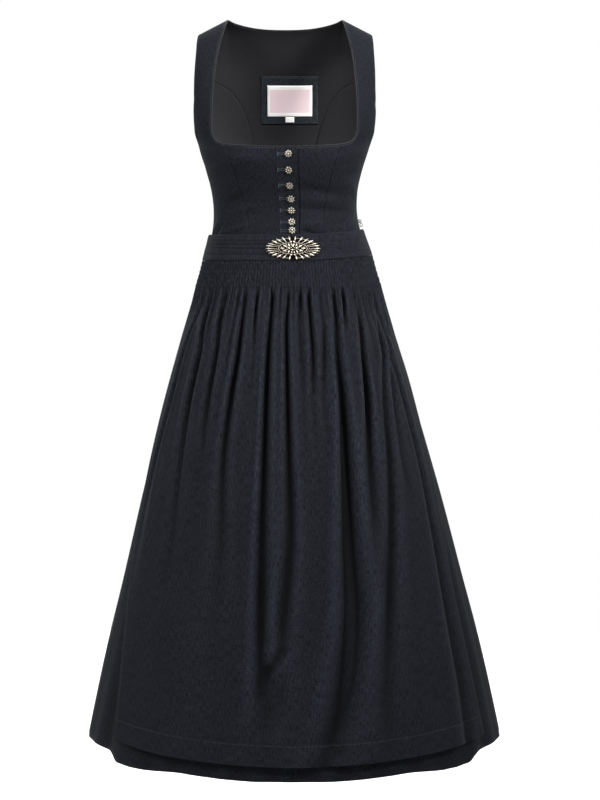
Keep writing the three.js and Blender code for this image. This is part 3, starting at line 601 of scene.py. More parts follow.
def skirt_drape(angle: Points, depth: Points) -> Points:
    """Finds how the skirt hangs inside its level surface.

    The pleats start unevenly under the belt, wander and differ in depth, and lie almost flat beside
    the apron. Under the apron the cloth is pressed in.

    Args:
        angle: degrees round the body, from -180 to 180.
        depth: distance below the shoulders.

    Returns:
        How far the cloth lies out of the surface, which is 0 or less.
    """
    covered = under_apron(angle, depth)
    aside = np.abs(angle)
    turn = np.radians(angle)
    late = 90 * np.sin(turn * 5 + 2) * np.sin(turn * 2 + 0.3)
    fall = ease(BELT_BOTTOM, 790 + late, depth)
    under = ease(BELT_BOTTOM - 10, 520, depth)
    beside = mix(0.12, 1, ease(86, 118, aside))
    wander = 0.7 * np.sin(turn * 3 + 0.6)
    behind = wander + 0.45 * np.sin(turn * 7 + 2 + depth * 0.0015) + 0.3 * np.sin(turn * 11)
    wave = turn * SKIRT_FOLDS + 2 * mix(wander, behind, ease(84, 110, aside))
    fold = (0.5 - 0.5 * np.cos(wave)) ** (0.9 + 0.3 * np.sin(turn * 6 + 1))
    uneven = 0.8 + 0.2 * np.sin(turn * 13 + 1.1) * np.sin(turn * 4 + 0.4)
    uneven = np.clip(uneven + 0.12 * np.sin(turn * 9 + depth * 0.004), 0.45, 1)
    pleats = 17 * beside * mix(0.1, 1, fall) * uneven * fold
    tuck = 2.6 * ease(BELT_BOTTOM, BELT_BOTTOM + 14, depth)
    tuck = tuck * (1 - ease(480 + late, 800 + 2 * late, depth))
    fine = tuck * (0.5 + 0.5 * np.cos(turn * 97 + 2.1 * np.sin(turn * 11) + depth * 0.002)) ** 1.5
    crumple = np.sin(np.radians(angle * 31 + depth * 0.11)) * np.sin(np.radians(angle * 7 + depth * 0.31))
    flank = 11 * ease(600, 950, depth) * np.exp(-(((aside - 63) / 9) ** 2))
    open_cloth = pleats + fine + 0.8 * fall * (crumple + 1) + flank
    pressed_in = 17 * under * (1 - 0.25 * fall) + 2.2 * fold * fall
    return -mix(open_cloth, pressed_in, covered)


def linear(hex_code: str) -> tuple[float, float, float, float]:
    """Turns an sRGB colour into the linear one that a shader takes.

    Args:
        hex_code: the colour as a hex value.

    Returns:
        Red, green, blue and alpha.
    """
    channels = [int(hex_code.lstrip("#")[i:i + 2], 16) / 255 for i in (0, 2, 4)]
    low_high = [c / 12.92 if c <= 0.04045 else ((c + 0.055) / 1.055) ** 2.4 for c in channels]
    return (*low_high, 1.0)


def add_node(material: bpy.types.Material, kind: str, settings: dict | None = None,
             links: dict | None = None) -> bpy.types.Node:
    """Adds one node to a material.

    Args:
        material: the material.
        kind: the node's type.
        settings: its properties by name, and its inputs' values by name or number.
        links: the output that each input, by name or number, takes its value from.

    Returns:
        The node.
    """
    node = material.node_tree.nodes.new(kind)
    for key, value in (settings or {}).items():
        if isinstance(key, str) and hasattr(node, key):
            setattr(node, key, value)
        else:
            node.inputs[key].default_value = value
    for key, output in (links or {}).items():
        material.node_tree.links.new(output, node.inputs[key])
    return node


def new_material(name: str) -> bpy.types.Material:
    """Makes an empty material that uses nodes.

    Args:
        name: its name.

    Returns:
        The material.
    """
    material = bpy.data.materials.new(name)
    material.use_nodes = True
    material.node_tree.nodes.clear()
    return material


# A wave texture of this scale repeats once in each unit of its coordinates.
WAVE_PERIOD = 2 * math.pi / 20
TO_MM = (1 / MM,) * 3
# The attribute that carries painted light: painted shade in the cloth's hollows and a painted highlight on
# its crests, and on the metal a painted highlight where it faces out.
PAINTED_CREST_LIGHT = "painted_crest_light"


@dataclass(frozen=True)
class WovenCloth:
    """Plain woven cloth: matte, with flecked yarns, and a soft sheen where it turns away."""

    name: str
    dark: str
    light: str
    thread_mm: float = 1.5
    slub_mm: tuple[float, float] = (1.7, 7.0)
    roughness: float = 0.82
    sheen: float = 0.02
    sheen_colour: str = "#8a93a8"
    specular: float = 0.08
    relief: float = 0.35
    fleck: float = 1.0
    # How far painted shade darkens the yarn colour in hollows and a painted highlight lightens it on crests.
    painted_light_range: tuple[float, float] = (0.16, 1.56)

    def material(self) -> bpy.types.Material:
        """Makes the material. The threads are drawn three times as coarse as they are, to show.

        The slubs run along the yarns. The folds are darkened with painted shade, and their crests
        are lightened with a painted highlight.

        Returns:
            The material, which reads the piece's own UV map and its painted light attribute.
        """
        m = new_material(self.name)
        uv = add_node(m, "ShaderNodeTexCoord").outputs["UV"]
        mm = add_node(m, "ShaderNodeMapping", {"Scale": TO_MM}, {0: uv}).outputs[0]
        scale = WAVE_PERIOD / self.thread_mm
        warp = add_node(m, "ShaderNodeTexWave", {"bands_direction": "X", "Scale": scale, "Distortion": 0.5,
                                                 "Detail": 1.0, "Detail Scale": 1.5}, {"Vector": mm})
        weft = add_node(m, "ShaderNodeTexWave", {"bands_direction": "Y", "Scale": scale, "Distortion": 0.5,
                                                 "Detail": 1.0, "Detail Scale": 1.5}, {"Vector": mm})
        weave = add_node(m, "ShaderNodeMath", {"operation": "MAXIMUM"},
                         {0: warp.outputs["Fac"], 1: weft.outputs["Fac"]})
        stretch = (1 / self.slub_mm[0], 1 / self.slub_mm[1], 1)
        yarns = add_node(m, "ShaderNodeMapping", {"Scale": stretch}, {0: mm})
        slub = add_node(m, "ShaderNodeTexNoise", {"Scale": 1.0, "Detail": 3.0, "Roughness": 0.65},
                        {"Vector": yarns.outputs[0]})
        across = add_node(m, "ShaderNodeMapping", {"Scale": stretch[1::-1] + (1,)}, {0: mm})
        cross = add_node(m, "ShaderNodeTexNoise", {"Scale": 1.0, "Detail": 3.0, "Roughness": 0.65},
                         {"Vector": across.outputs[0]})
        flecks = add_node(m, "ShaderNodeMath", {"operation": "MULTIPLY_ADD", 1: 2.2},
                          {0: slub.outputs["Fac"], 2: cross.outputs["Fac"]})
        shade = add_node(m, "ShaderNodeTexNoise", {"Scale": 1 / 70, "Detail": 2.0}, {"Vector": mm})
        tone = add_node(m, "ShaderNodeMath", {"operation": "MULTIPLY_ADD", 1: 0.12},
                        {0: shade.outputs["Fac"], 2: flecks.outputs[0]})
        fleck = add_node(m, "ShaderNodeMapRange", {
            "From Min": 1.4, "From Max": 1.92, "To Min": 0.5 - self.fleck / 2,
            "To Max": 0.5 + self.fleck / 2,
        }, {"Value": tone.outputs[0]})
        yarn = add_node(m, "ShaderNodeMix", {
            "data_type": "RGBA", 6: linear(self.dark), 7: linear(self.light),
        }, {0: fleck.outputs[0]})
        # Painted light: shade painted into the folds and a highlight painted on their crests.
        painted_crest_light = add_node(m, "ShaderNodeAttribute", {"attribute_name": PAINTED_CREST_LIGHT}).outputs["Fac"]
        painted_light = add_node(m, "ShaderNodeMapRange", {"From Min": -1.0, "From Max": 1.0, "To Min": self.painted_light_range[0],
                                                   "To Max": self.painted_light_range[1]}, {"Value": painted_crest_light})
        colour = add_node(m, "ShaderNodeVectorMath", {"operation": "SCALE"},
                          {"Vector": yarn.outputs[2], "Scale": painted_light.outputs[0]})
        height = add_node(m, "ShaderNodeMath", {"operation": "MULTIPLY_ADD", 1: 0.6},
                          {0: weave.outputs[0], 2: slub.outputs["Fac"]})
        bump = add_node(m, "ShaderNodeBump", {"Strength": self.relief, "Distance": 0.25 * MM},
                        {"Height": height.outputs[0]})
        shader = add_node(m, "ShaderNodeBsdfPrincipled", {
            "Roughness": self.roughness, "Sheen Weight": self.sheen, "Sheen Roughness": 0.45,
            "Sheen Tint": linear(self.sheen_colour), "Specular IOR Level": self.specular,
        }, {"Base Color": colour.outputs[0], "Normal": bump.outputs[0]})
        add_node(m, "ShaderNodeOutputMaterial", None, {0: shader.outputs[0]})
        return m


@dataclass(frozen=True)
class LabelCloth:
    """Woven label tape: a pale field inside a plain selvedge of another colour."""

    name: str
    field_colour: str
    border_colour: str
    half_size_mm: tuple[float, float]
    weft_mm: float = 0.9

    def material(self) -> bpy.types.Material:
        """Makes the material, whose border follows the label's own edges.

        Returns:
            The material. Its weft is drawn about twice as coarse as it is, to show.
        """
        m = new_material(self.name)
        uv = add_node(m, "ShaderNodeTexCoord").outputs["UV"]
        mm = add_node(m, "ShaderNodeMapping", {"Scale": TO_MM}, {0: uv}).outputs[0]
        axes = add_node(m, "ShaderNodeSeparateXYZ", None, {0: mm})
        past = []
        for k, half in enumerate(self.half_size_mm):
            far = add_node(m, "ShaderNodeMath", {"operation": "ABSOLUTE"}, {0: axes.outputs[k]})
            past.append(add_node(m, "ShaderNodeMath", {"operation": "SUBTRACT", 1: half},
                                 {0: far.outputs[0]}))
        edge = add_node(m, "ShaderNodeMath", {"operation": "MAXIMUM"},
                        {0: past[0].outputs[0], 1: past[1].outputs[0]})
        border = add_node(m, "ShaderNodeMapRange", {"From Min": -0.25, "From Max": 0.25},
                          {"Value": edge.outputs[0]})
        weft = add_node(m, "ShaderNodeTexWave",
                        {"bands_direction": "Y", "Scale": WAVE_PERIOD / self.weft_mm}, {"Vector": mm})
        colour = add_node(m, "ShaderNodeMix", {
            "data_type": "RGBA", 6: linear(self.field_colour), 7: linear(self.border_colour),
        }, {0: border.outputs[0]})
        bump = add_node(m, "ShaderNodeBump", {"Strength": 0.3, "Distance": 0.15 * MM},
                        {"Height": weft.outputs["Fac"]})
        shader = add_node(m, "ShaderNodeBsdfPrincipled", {"Roughness": 0.6, "Sheen Weight": 0.2},
                          {"Base Color": colour.outputs[2], "Normal": bump.outputs[0]})
        add_node(m, "ShaderNodeOutputMaterial", None, {0: shader.outputs[0]})
        return m


@dataclass(frozen=True)
class Thread:
    """Twisted sewing thread or cord: a soft gloss and fine slanting plies."""

    name: str
    colour: str
    ply_mm: float = 0.8
    roughness: float = 0.55

    def material(self) -> bpy.types.Material:
        """Makes the material, whose plies slant across the object's own coordinates.

        Returns:
            The material. Its plies are drawn about twice as coarse as they are, to show.
        """
        m = new_material(self.name)
        place = add_node(m, "ShaderNodeTexCoord").outputs["Object"]
        mm = add_node(m, "ShaderNodeMapping", {"Scale": TO_MM}, {0: place}).outputs[0]
        plies = add_node(m, "ShaderNodeTexWave", {"bands_direction": "DIAGONAL", "Distortion": 1.0,
                                                  "Scale": WAVE_PERIOD / self.ply_mm}, {"Vector": mm})
        tone = add_node(m, "ShaderNodeTexNoise", {"Scale": 0.2, "Detail": 2.0}, {"Vector": mm})
        depth = add_node(m, "ShaderNodeMapRange", {"To Min": 0.7, "To Max": 1.3},
                         {"Value": tone.outputs["Fac"]})
        colour = add_node(m, "ShaderNodeHueSaturation",
                          {"Color": linear(self.colour), "Saturation": 0.95}, {"Value": depth.outputs[0]})
        bump = add_node(m, "ShaderNodeBump", {"Strength": 0.4, "Distance": 0.12 * MM},
                        {"Height": plies.outputs["Fac"]})
        shader = add_node(m, "ShaderNodeBsdfPrincipled", {
            "Roughness": self.roughness, "Sheen Weight": 0.05, "Specular IOR Level": 0.15,
        }, {"Base Color": colour.outputs[0], "Normal": bump.outputs[0]})
        add_node(m, "ShaderNodeOutputMaterial", None, {0: shader.outputs[0]})
        return m


@dataclass(frozen=True)
class CastSilver:
    """Cast silver plate: polished and given a painted highlight on the crests that face out, tarnished and
    given painted shade on its flanks.
    """

    name: str
    bright: str
    dull: str
    roughness: tuple[float, float] = (0.36, 0.58)
    grain_mm: float = 2.0

    def material(self) -> bpy.types.Material:
        """Makes the material. Tarnish gathers in patches about as large as the grain.

        Returns:
            The material, which is bright where the piece's painted crest light attribute is 1.
        """
        m = new_material(self.name)
        place = add_node(m, "ShaderNodeTexCoord").outputs["Object"]
        mm = add_node(m, "ShaderNodeMapping", {"Scale": TO_MM}, {0: place}).outputs[0]
        tarnish = add_node(m, "ShaderNodeTexNoise",
                           {"Scale": 1 / self.grain_mm, "Detail": 4.0, "Roughness": 0.6}, {"Vector": mm})
        # Painted light over real tarnish: a painted highlight on the faces turned out and painted shade on
        # the flanks.
        polish_and_painted_light = add_node(m, "ShaderNodeAttribute", {"attribute_name": PAINTED_CREST_LIGHT}).outputs["Fac"]
        tarnish_and_painted_shade = add_node(m, "ShaderNodeMath", {"operation": "SUBTRACT", 0: 1.0}, {1: polish_and_painted_light})
        dark = add_node(m, "ShaderNodeMath", {"operation": "MULTIPLY_ADD", 1: 0.35},
                        {0: tarnish.outputs["Fac"], 2: tarnish_and_painted_shade.outputs[0]})
        share = add_node(m, "ShaderNodeMapRange", {"From Min": 0.2, "From Max": 0.85},
                         {"Value": dark.outputs[0]})
        colour = add_node(m, "ShaderNodeMix", {
            "data_type": "RGBA", 6: linear(self.bright), 7: linear(self.dull),
        }, {0: share.outputs[0]})
        rough = add_node(m, "ShaderNodeMapRange", {"To Min": self.roughness[0], "To Max": self.roughness[1]},
                         {"Value": share.outputs[0]})
        bump = add_node(m, "ShaderNodeBump", {"Strength": 0.25, "Distance": 0.1 * MM},
                        {"Height": tarnish.outputs["Fac"]})
        shader = add_node(m, "ShaderNodeBsdfPrincipled", {"Metallic": 1.0}, {
            "Base Color": colour.outputs[2], "Roughness": rough.outputs[0], "Normal": bump.outputs[0],
        })
        add_node(m, "ShaderNodeOutputMaterial", None, {0: shader.outputs[0]})
        return m


@dataclass
class Wardrobe:
    """Every finish of the dress, made once and shared by its pieces."""

    # Cotton and linen, plain woven and dyed navy: a dry matte face with uneven paler yarns.
    cloth: bpy.types.Material = field(default_factory=lambda: WovenCloth(
        "navy_linen_cloth", "#07080c", "#181a20").material())
    # The same kind of cloth, greyer: the patch looks a shade lighter than the lining round it.
    patch: bpy.types.Material = field(default_factory=lambda: WovenCloth(
        "patch_cloth", "#14181b", "#2e3338").material())
    # Slub linen, woven softer than the dress: long pale streaks down the cloth and a faint sheen.
    apron: bpy.types.Material = field(default_factory=lambda: WovenCloth(
        "navy_apron_cloth", "#07080c", "#1a1c22", slub_mm=(1.5, 11.0), sheen=0.03).material())
    # Fine viscose twill: even and smooth, so it reads as one near-black tone.
    lining: bpy.types.Material = field(default_factory=lambda: WovenCloth(
        "black_lining_twill", "#141416", "#232325", thread_mm=0.8, roughness=0.8, sheen=0.02,
        specular=0.1, relief=0.2, fleck=0.3, painted_light_range=(0.6, 1.3)).material())
    # Cord covered in satin: a thin dark line with a soft gloss along the neck.
    piping: bpy.types.Material = field(default_factory=lambda: Thread(
        "satin_piping", "#111114", 1.2).material())
    # Twisted polyester thread, matched to the cloth: stitches a shade paler than what they hold.
    thread: bpy.types.Material = field(default_factory=lambda: Thread(
        "navy_thread", "#262930").material())
    # Mercerised cotton twist: close stitches that catch the light round the buttonholes.
    hole_thread: bpy.types.Material = field(default_factory=lambda: Thread(
        "slate_thread", "#3f434b").material())
    # The same sewing thread in grey: a dotted line along the neckline and the patch.
    pale_thread: bpy.types.Material = field(default_factory=lambda: Thread(
        "grey_thread", "#484c55").material())
    # Polyester ribbon: a pale rose field with a fine even weft, in an off-white selvedge.
    label: bpy.types.Material = field(default_factory=lambda: LabelCloth(
        "woven_label", "#e3ccd1", "#efedea", (36.5, 21.5)).material())
    # The same ribbon in white, the brightest spot inside the dress.
    size_tab: bpy.types.Material = field(default_factory=lambda: LabelCloth(
        "woven_size_tab", "#f4f1ee", "#ffffff", (7.0, 4.0)).material())
    # Silver plate on cast brass: warm bright polished crests with a painted highlight, that fade into dark
    # tarnish and painted shade on the flanks.
    silver: bpy.types.Material = field(default_factory=lambda: CastSilver(
        "polished_silver_with_painted_light", "#dcd4c4", "#1d1915").material())
    # Nickel plate, dulled by use: a flat grey glint at the side seam.
    nickel: bpy.types.Material = field(default_factory=lambda: CastSilver(
        "worn_nickel", "#716c63", "#26231f").material())
    # Silver plate blackened in sulphide: the ground that makes the filigree stand out.
    oxide: bpy.types.Material = field(default_factory=lambda: CastSilver(
        "oxidised_silver", "#141210", "#070605", (0.55, 0.8)).material())


def add_piece(mesh: bmesh.types.BMesh, name: str, material: bpy.types.Material,
              body: str = DRESS_BODY, others: Sequence[bpy.types.Material] = ()) -> bpy.types.Object:
    """Turns a mesh in metres into a piece of the dress.

    Args:
        mesh: the mesh, which is freed.
        name: the piece's name.
        material: its finish.
        body: the body that it rides on.
        others: further finishes, for faces with a higher material number.

    Returns:
        The piece.
    """
    data = bpy.data.meshes.new(name)
    for face in mesh.faces:
        face.smooth = True
    mesh.to_mesh(data)
    mesh.free()
    for finish in (material, *others):
        data.materials.append(finish)
    piece = bpy.data.objects.new(name, data)
    bpy.context.scene.collection.objects.link(piece)
    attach(piece, body)
    log.info("%s: %d faces", name, len(data.polygons))
    return piece


@dataclass(frozen=True)
class Crease:
    """A soft ridge or trough that runs from one place of the cloth to another."""

    start: tuple[float, float]
    end: tuple[float, float]
    width: float
    height: float
    mm_per_degree: float = 2.3

    def relief(self, angle: Points, depth: Points) -> Points:
        """Finds its height at places.

        Args:
            angle: degrees round the body.
            depth: distance below the shoulders.

        Returns:
            How far it lifts the cloth there.
        """
        ax, ay = self.start[0] * self.mm_per_degree, self.start[1]
        bx, by = self.end[0] * self.mm_per_degree - ax, self.end[1] - ay
        px, py = angle * self.mm_per_degree - ax, depth - ay
        length = bx * bx + by * by
        along = np.clip((px * bx + py * by) / length, 0, 1)
        away = np.hypot(px - along * bx, py - along * by)
        fade = np.sin(np.pi * np.clip(0.12 + 0.76 * along, 0, 1))
        return self.height * fade * np.exp(-((away / self.width) ** 2))


@dataclass
class CutPiece:
    """A cut piece of cloth: a fine net on the dress form, rolled at its seams, with a thickness."""

    name: str
    places: Points
    out: float | Callable[[Points, Points], Points]
    rows: int
    columns: int
    thickness: float = 1.1
    rolled: tuple[Edge, ...] = ()
    roll: float = 0.6
    roll_width: float = 1.3
    creases: tuple[Crease, ...] = ()
    fullness: float = 1.0
    held: str = "hung"
    corner: int = 0
    spans: tuple[Points, Points] = field(init=False)
    painted_crest_light: Points = field(init=False)

    def lay_out(self) -> Points:
        """Works out the net's points, and keeps its lengths across and down and where light and shade are
        painted.

        Returns:
            The points in millimetres.
        """
        net = resampled(self.places, self.rows, self.columns, self.corner)
        angle, depth = net[..., 0], net[..., 1]
        flat = FORM.at(angle, depth)
        across = np.cumsum(np.linalg.norm(np.diff(flat, axis=1, prepend=flat[:, :1]), axis=-1), axis=1)
        down = np.cumsum(np.linalg.norm(np.diff(flat, axis=0, prepend=flat[:1]), axis=-1), axis=0)
        self.spans = (across, down)
        out = self.out(angle, depth) if callable(self.out) else np.full_like(angle, float(self.out))
        off = {Edge.TOP: down, Edge.BOTTOM: down[-1:] - down,
               Edge.RIGHT: across, Edge.LEFT: across[:, -1:] - across}
        for edge in self.rolled:
            out = out - self.roll * np.exp(-((off[edge] / self.roll_width) ** 2))
        for crease in self.creases:
            out = out + crease.relief(from_front(angle), depth)
        cell = (float(down[-1].mean()) / self.rows, float(across[:, -1].mean()) / self.columns)
        self.painted_crest_light = painted_light_share(out, cell)
        return FORM.at(angle, depth, out)

    def build(self, material: bpy.types.Material, slot: str, *replaced: str) -> bpy.types.Object:
        """Makes the piece.

        Args:
            material: its finish.
            slot: a material slot's name, which is not used.
            replaced: the solids that it stands for.

        Returns:
            The piece, a sheet of cloth given a thickness.
        """
        points = self.lay_out()
        mesh = bmesh.new()
        bmesh.ops.create_grid(mesh, x_segments=self.columns, y_segments=self.rows, size=0.5)
        flat = np.array([v.co[:2] for v in mesh.verts])
        column = np.rint((flat[:, 0] + 0.5) * self.columns).astype(int)
        row = np.rint((0.5 - flat[:, 1]) * self.rows).astype(int)
        across, down = self.spans
        width, length = across[:, -1:], down[-1:]
        sewn = mesh.loops.layers.uv.new("cloth")
        # Carries the painted shade of hollows and the painted highlight of crests to the finish.
        painted_light_layer = mesh.verts.layers.float.new(PAINTED_CREST_LIGHT)
        places = points[row, column] * MM
        uv = np.stack([(across - width / 2)[row, column], (length / 2 - down)[row, column]], axis=-1) * MM
        mesh.verts.ensure_lookup_table()
        for vert, place, painted_crest_light in zip(mesh.verts, places, self.painted_crest_light[row, column]):
            vert.co = place
            vert[painted_light_layer] = painted_crest_light
        for face in mesh.faces:
            for loop in face.loops:
                loop[sewn].uv = uv[loop.vert.index]
        mesh.normal_update()
        mesh.faces.ensure_lookup_table()
        middle = mesh.faces[len(mesh.faces) // 2]
        inside = Vector((float(points[..., 0].mean()) * MM * 0.3, 0, middle.calc_center_median().z))
        if middle.normal.dot(middle.calc_center_median() - inside) < 0:
            bmesh.ops.reverse_faces(mesh, faces=mesh.faces)
        area = sum(face.calc_area() for face in mesh.faces)
        piece = add_piece(mesh, self.name, material)
        wall = piece.modifiers.new("thickness", "SOLIDIFY")
        wall.thickness, wall.offset = self.thickness * MM, -1.0
        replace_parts(piece, *replaced)
        return piece


def smoothed(values: Points, reach: tuple[int, int]) -> Points:
    """Smooths a net's values.

    Args:
        values: one number for each place.
        reach: how many rows and columns are evened out.

    Returns:
        The smoothed values.
    """
    for axis, half in enumerate(reach):
        if half > 0:
            kernel = np.hanning(2 * half + 3)[1:-1]
            pads = [(half, half) if k == axis else (0, 0) for k in (0, 1)]
            padded = np.pad(values, pads, mode="edge")
            values = np.apply_along_axis(np.convolve, axis, padded, kernel / kernel.sum(), "valid")
    return values


def painted_light_share(out: Points, cell: tuple[float, float]) -> Points:
    """Finds how far each place of a net stands up from the cloth round it, which the finish paints as shade
    in hollows and a highlight on crests.

    Args:
        out: how far the net's places lie out.
        cell: the mean length of its rows and columns in millimetres.

    Returns:
        From -1 in deep hollows to 1 on high crests.
    """
    share = np.zeros_like(out)
    # Small tucks and large folds, each by its reach and its full height.
    for reach, height in ((5.0, 2.2), (34.0, 9.0)):
        steps = tuple(min(int(round(reach / size)), n // 2) for size, n in zip(cell, out.shape))
        share = share + (out - smoothed(out, steps)) / height
    return np.clip(share, -1, 1)


def laid_on_form(mesh: bmesh.types.BMesh, x: float, depth: float, out: float) -> None:
    """Lays a small flat mesh in millimetres on the dress.

    Args:
        mesh: X runs to the wearer's left, Y up and Z out. It is moved in place.
        x: where its middle goes, from the middle of the dress.
        depth: the depth of its middle.
        out: how far its Z plane lies out of the surface.
    """
    local = np.array([v.co for v in mesh.verts])
    at = depth - local[:, 1]
    placed = FORM.at(FORM.angle_of(x + local[:, 0], at), at, out + local[:, 2]) * MM
    for vert, place in zip(mesh.verts, placed):
        vert.co = place


def overlap_out(x: Points, depth: Points) -> Points:
    """Returns how far the lapped front lies out of the one under it."""
    return (CLOTH + GAP) * ease(-32, -18, x - button_line(depth))


def tube(path: Points, radius: float, sides: int = 8) -> bmesh.types.BMesh:
    """Makes a closed round cord along a path.

    Args:
        path: its middle line in millimetres.
        radius: its radius.
        sides: how many sides it has.

    Returns:
        The mesh in metres.
    """
    steps = len(path) - 1
    mesh = bmesh.new()
    bmesh.ops.create_grid(mesh, x_segments=steps, y_segments=sides, size=0.5)
    forward = np.gradient(path, axis=0)
    forward /= np.linalg.norm(forward, axis=1, keepdims=True)
    side = np.cross(forward, np.array([0.31, 0.22, 0.93]))
    side /= np.linalg.norm(side, axis=1, keepdims=True)
    up = np.cross(side, forward)
    for vert in mesh.verts:
        i = round((vert.co.x + 0.5) * steps)
        turn = (vert.co.y + 0.5) * 2 * math.pi
        vert.co = (path[i] + radius * (math.cos(turn) * side[i] + math.sin(turn) * up[i])) * MM
    bmesh.ops.remove_doubles(mesh, verts=mesh.verts, dist=radius * MM * 0.05)
    bmesh.ops.holes_fill(mesh, edges=[e for e in mesh.edges if e.is_boundary], sides=0)
    bmesh.ops.recalc_face_normals(mesh, faces=mesh.faces)
    return mesh


def run_lengths(path: Points) -> Points:
    """Returns how far each point of a path lies along it."""
    return np.concatenate([[0], np.cumsum(np.linalg.norm(np.diff(path, axis=0), axis=1))])


def smooth_path(points: Points, steps: int) -> Points:
    """Makes a path on a smooth curve through points.

    Args:
        points: what it goes through.
        steps: how many even steps it has.

    Returns:
        The path's points.
    """
    keys = run_lengths(points)
    at = np.linspace(0, keys[-1], steps + 1)
    return np.stack([smooth_lookup(keys, points[:, k], at) for k in range(3)], axis=-1)


@dataclass
class StitchRow:
    """A row of stitches along a path on the cloth."""

    path: Points
    length: float = 2.2
    pitch: float = 3.2
    radius: float = 0.28

    def add_to(self, mesh: bmesh.types.BMesh, source: random.Random) -> None:
        """Adds the stitches to a mesh.

        Args:
            mesh: the mesh in metres that gets them.
            source: gives each stitch its small slant.
        """
        keys = run_lengths(self.path)
        for at in np.arange(self.pitch / 2, keys[-1], self.pitch):
            ends = [np.array([np.interp(at + s * self.length / 2, keys, self.path[:, k]) for k in range(3)])
                    for s in (-1, 1)]
            along = Vector(ends[1] - ends[0]).normalized()
            slant = Vector([source.uniform(-0.06, 0.06) for _ in range(3)])
            turn = (along + slant).to_track_quat("X", "Z").to_matrix().to_4x4()
            place = Matrix.Translation(Vector((ends[0] + ends[1]) / 2) * MM) @ turn
            size = Matrix.Diagonal((self.length / 2 * MM, self.radius * MM, self.radius * MM, 1))
            bmesh.ops.create_icosphere(mesh, subdivisions=1, radius=1.0, matrix=place @ size)


def path_on_form(places: Sequence[tuple[float, float]], out: float, steps: int) -> Points:
    """Returns a smooth path through places of the cloth, at a distance out of it."""
    coarse = np.array([FORM.at(a, d, out) for a, d in places])
    return smooth_path(coarse, steps)


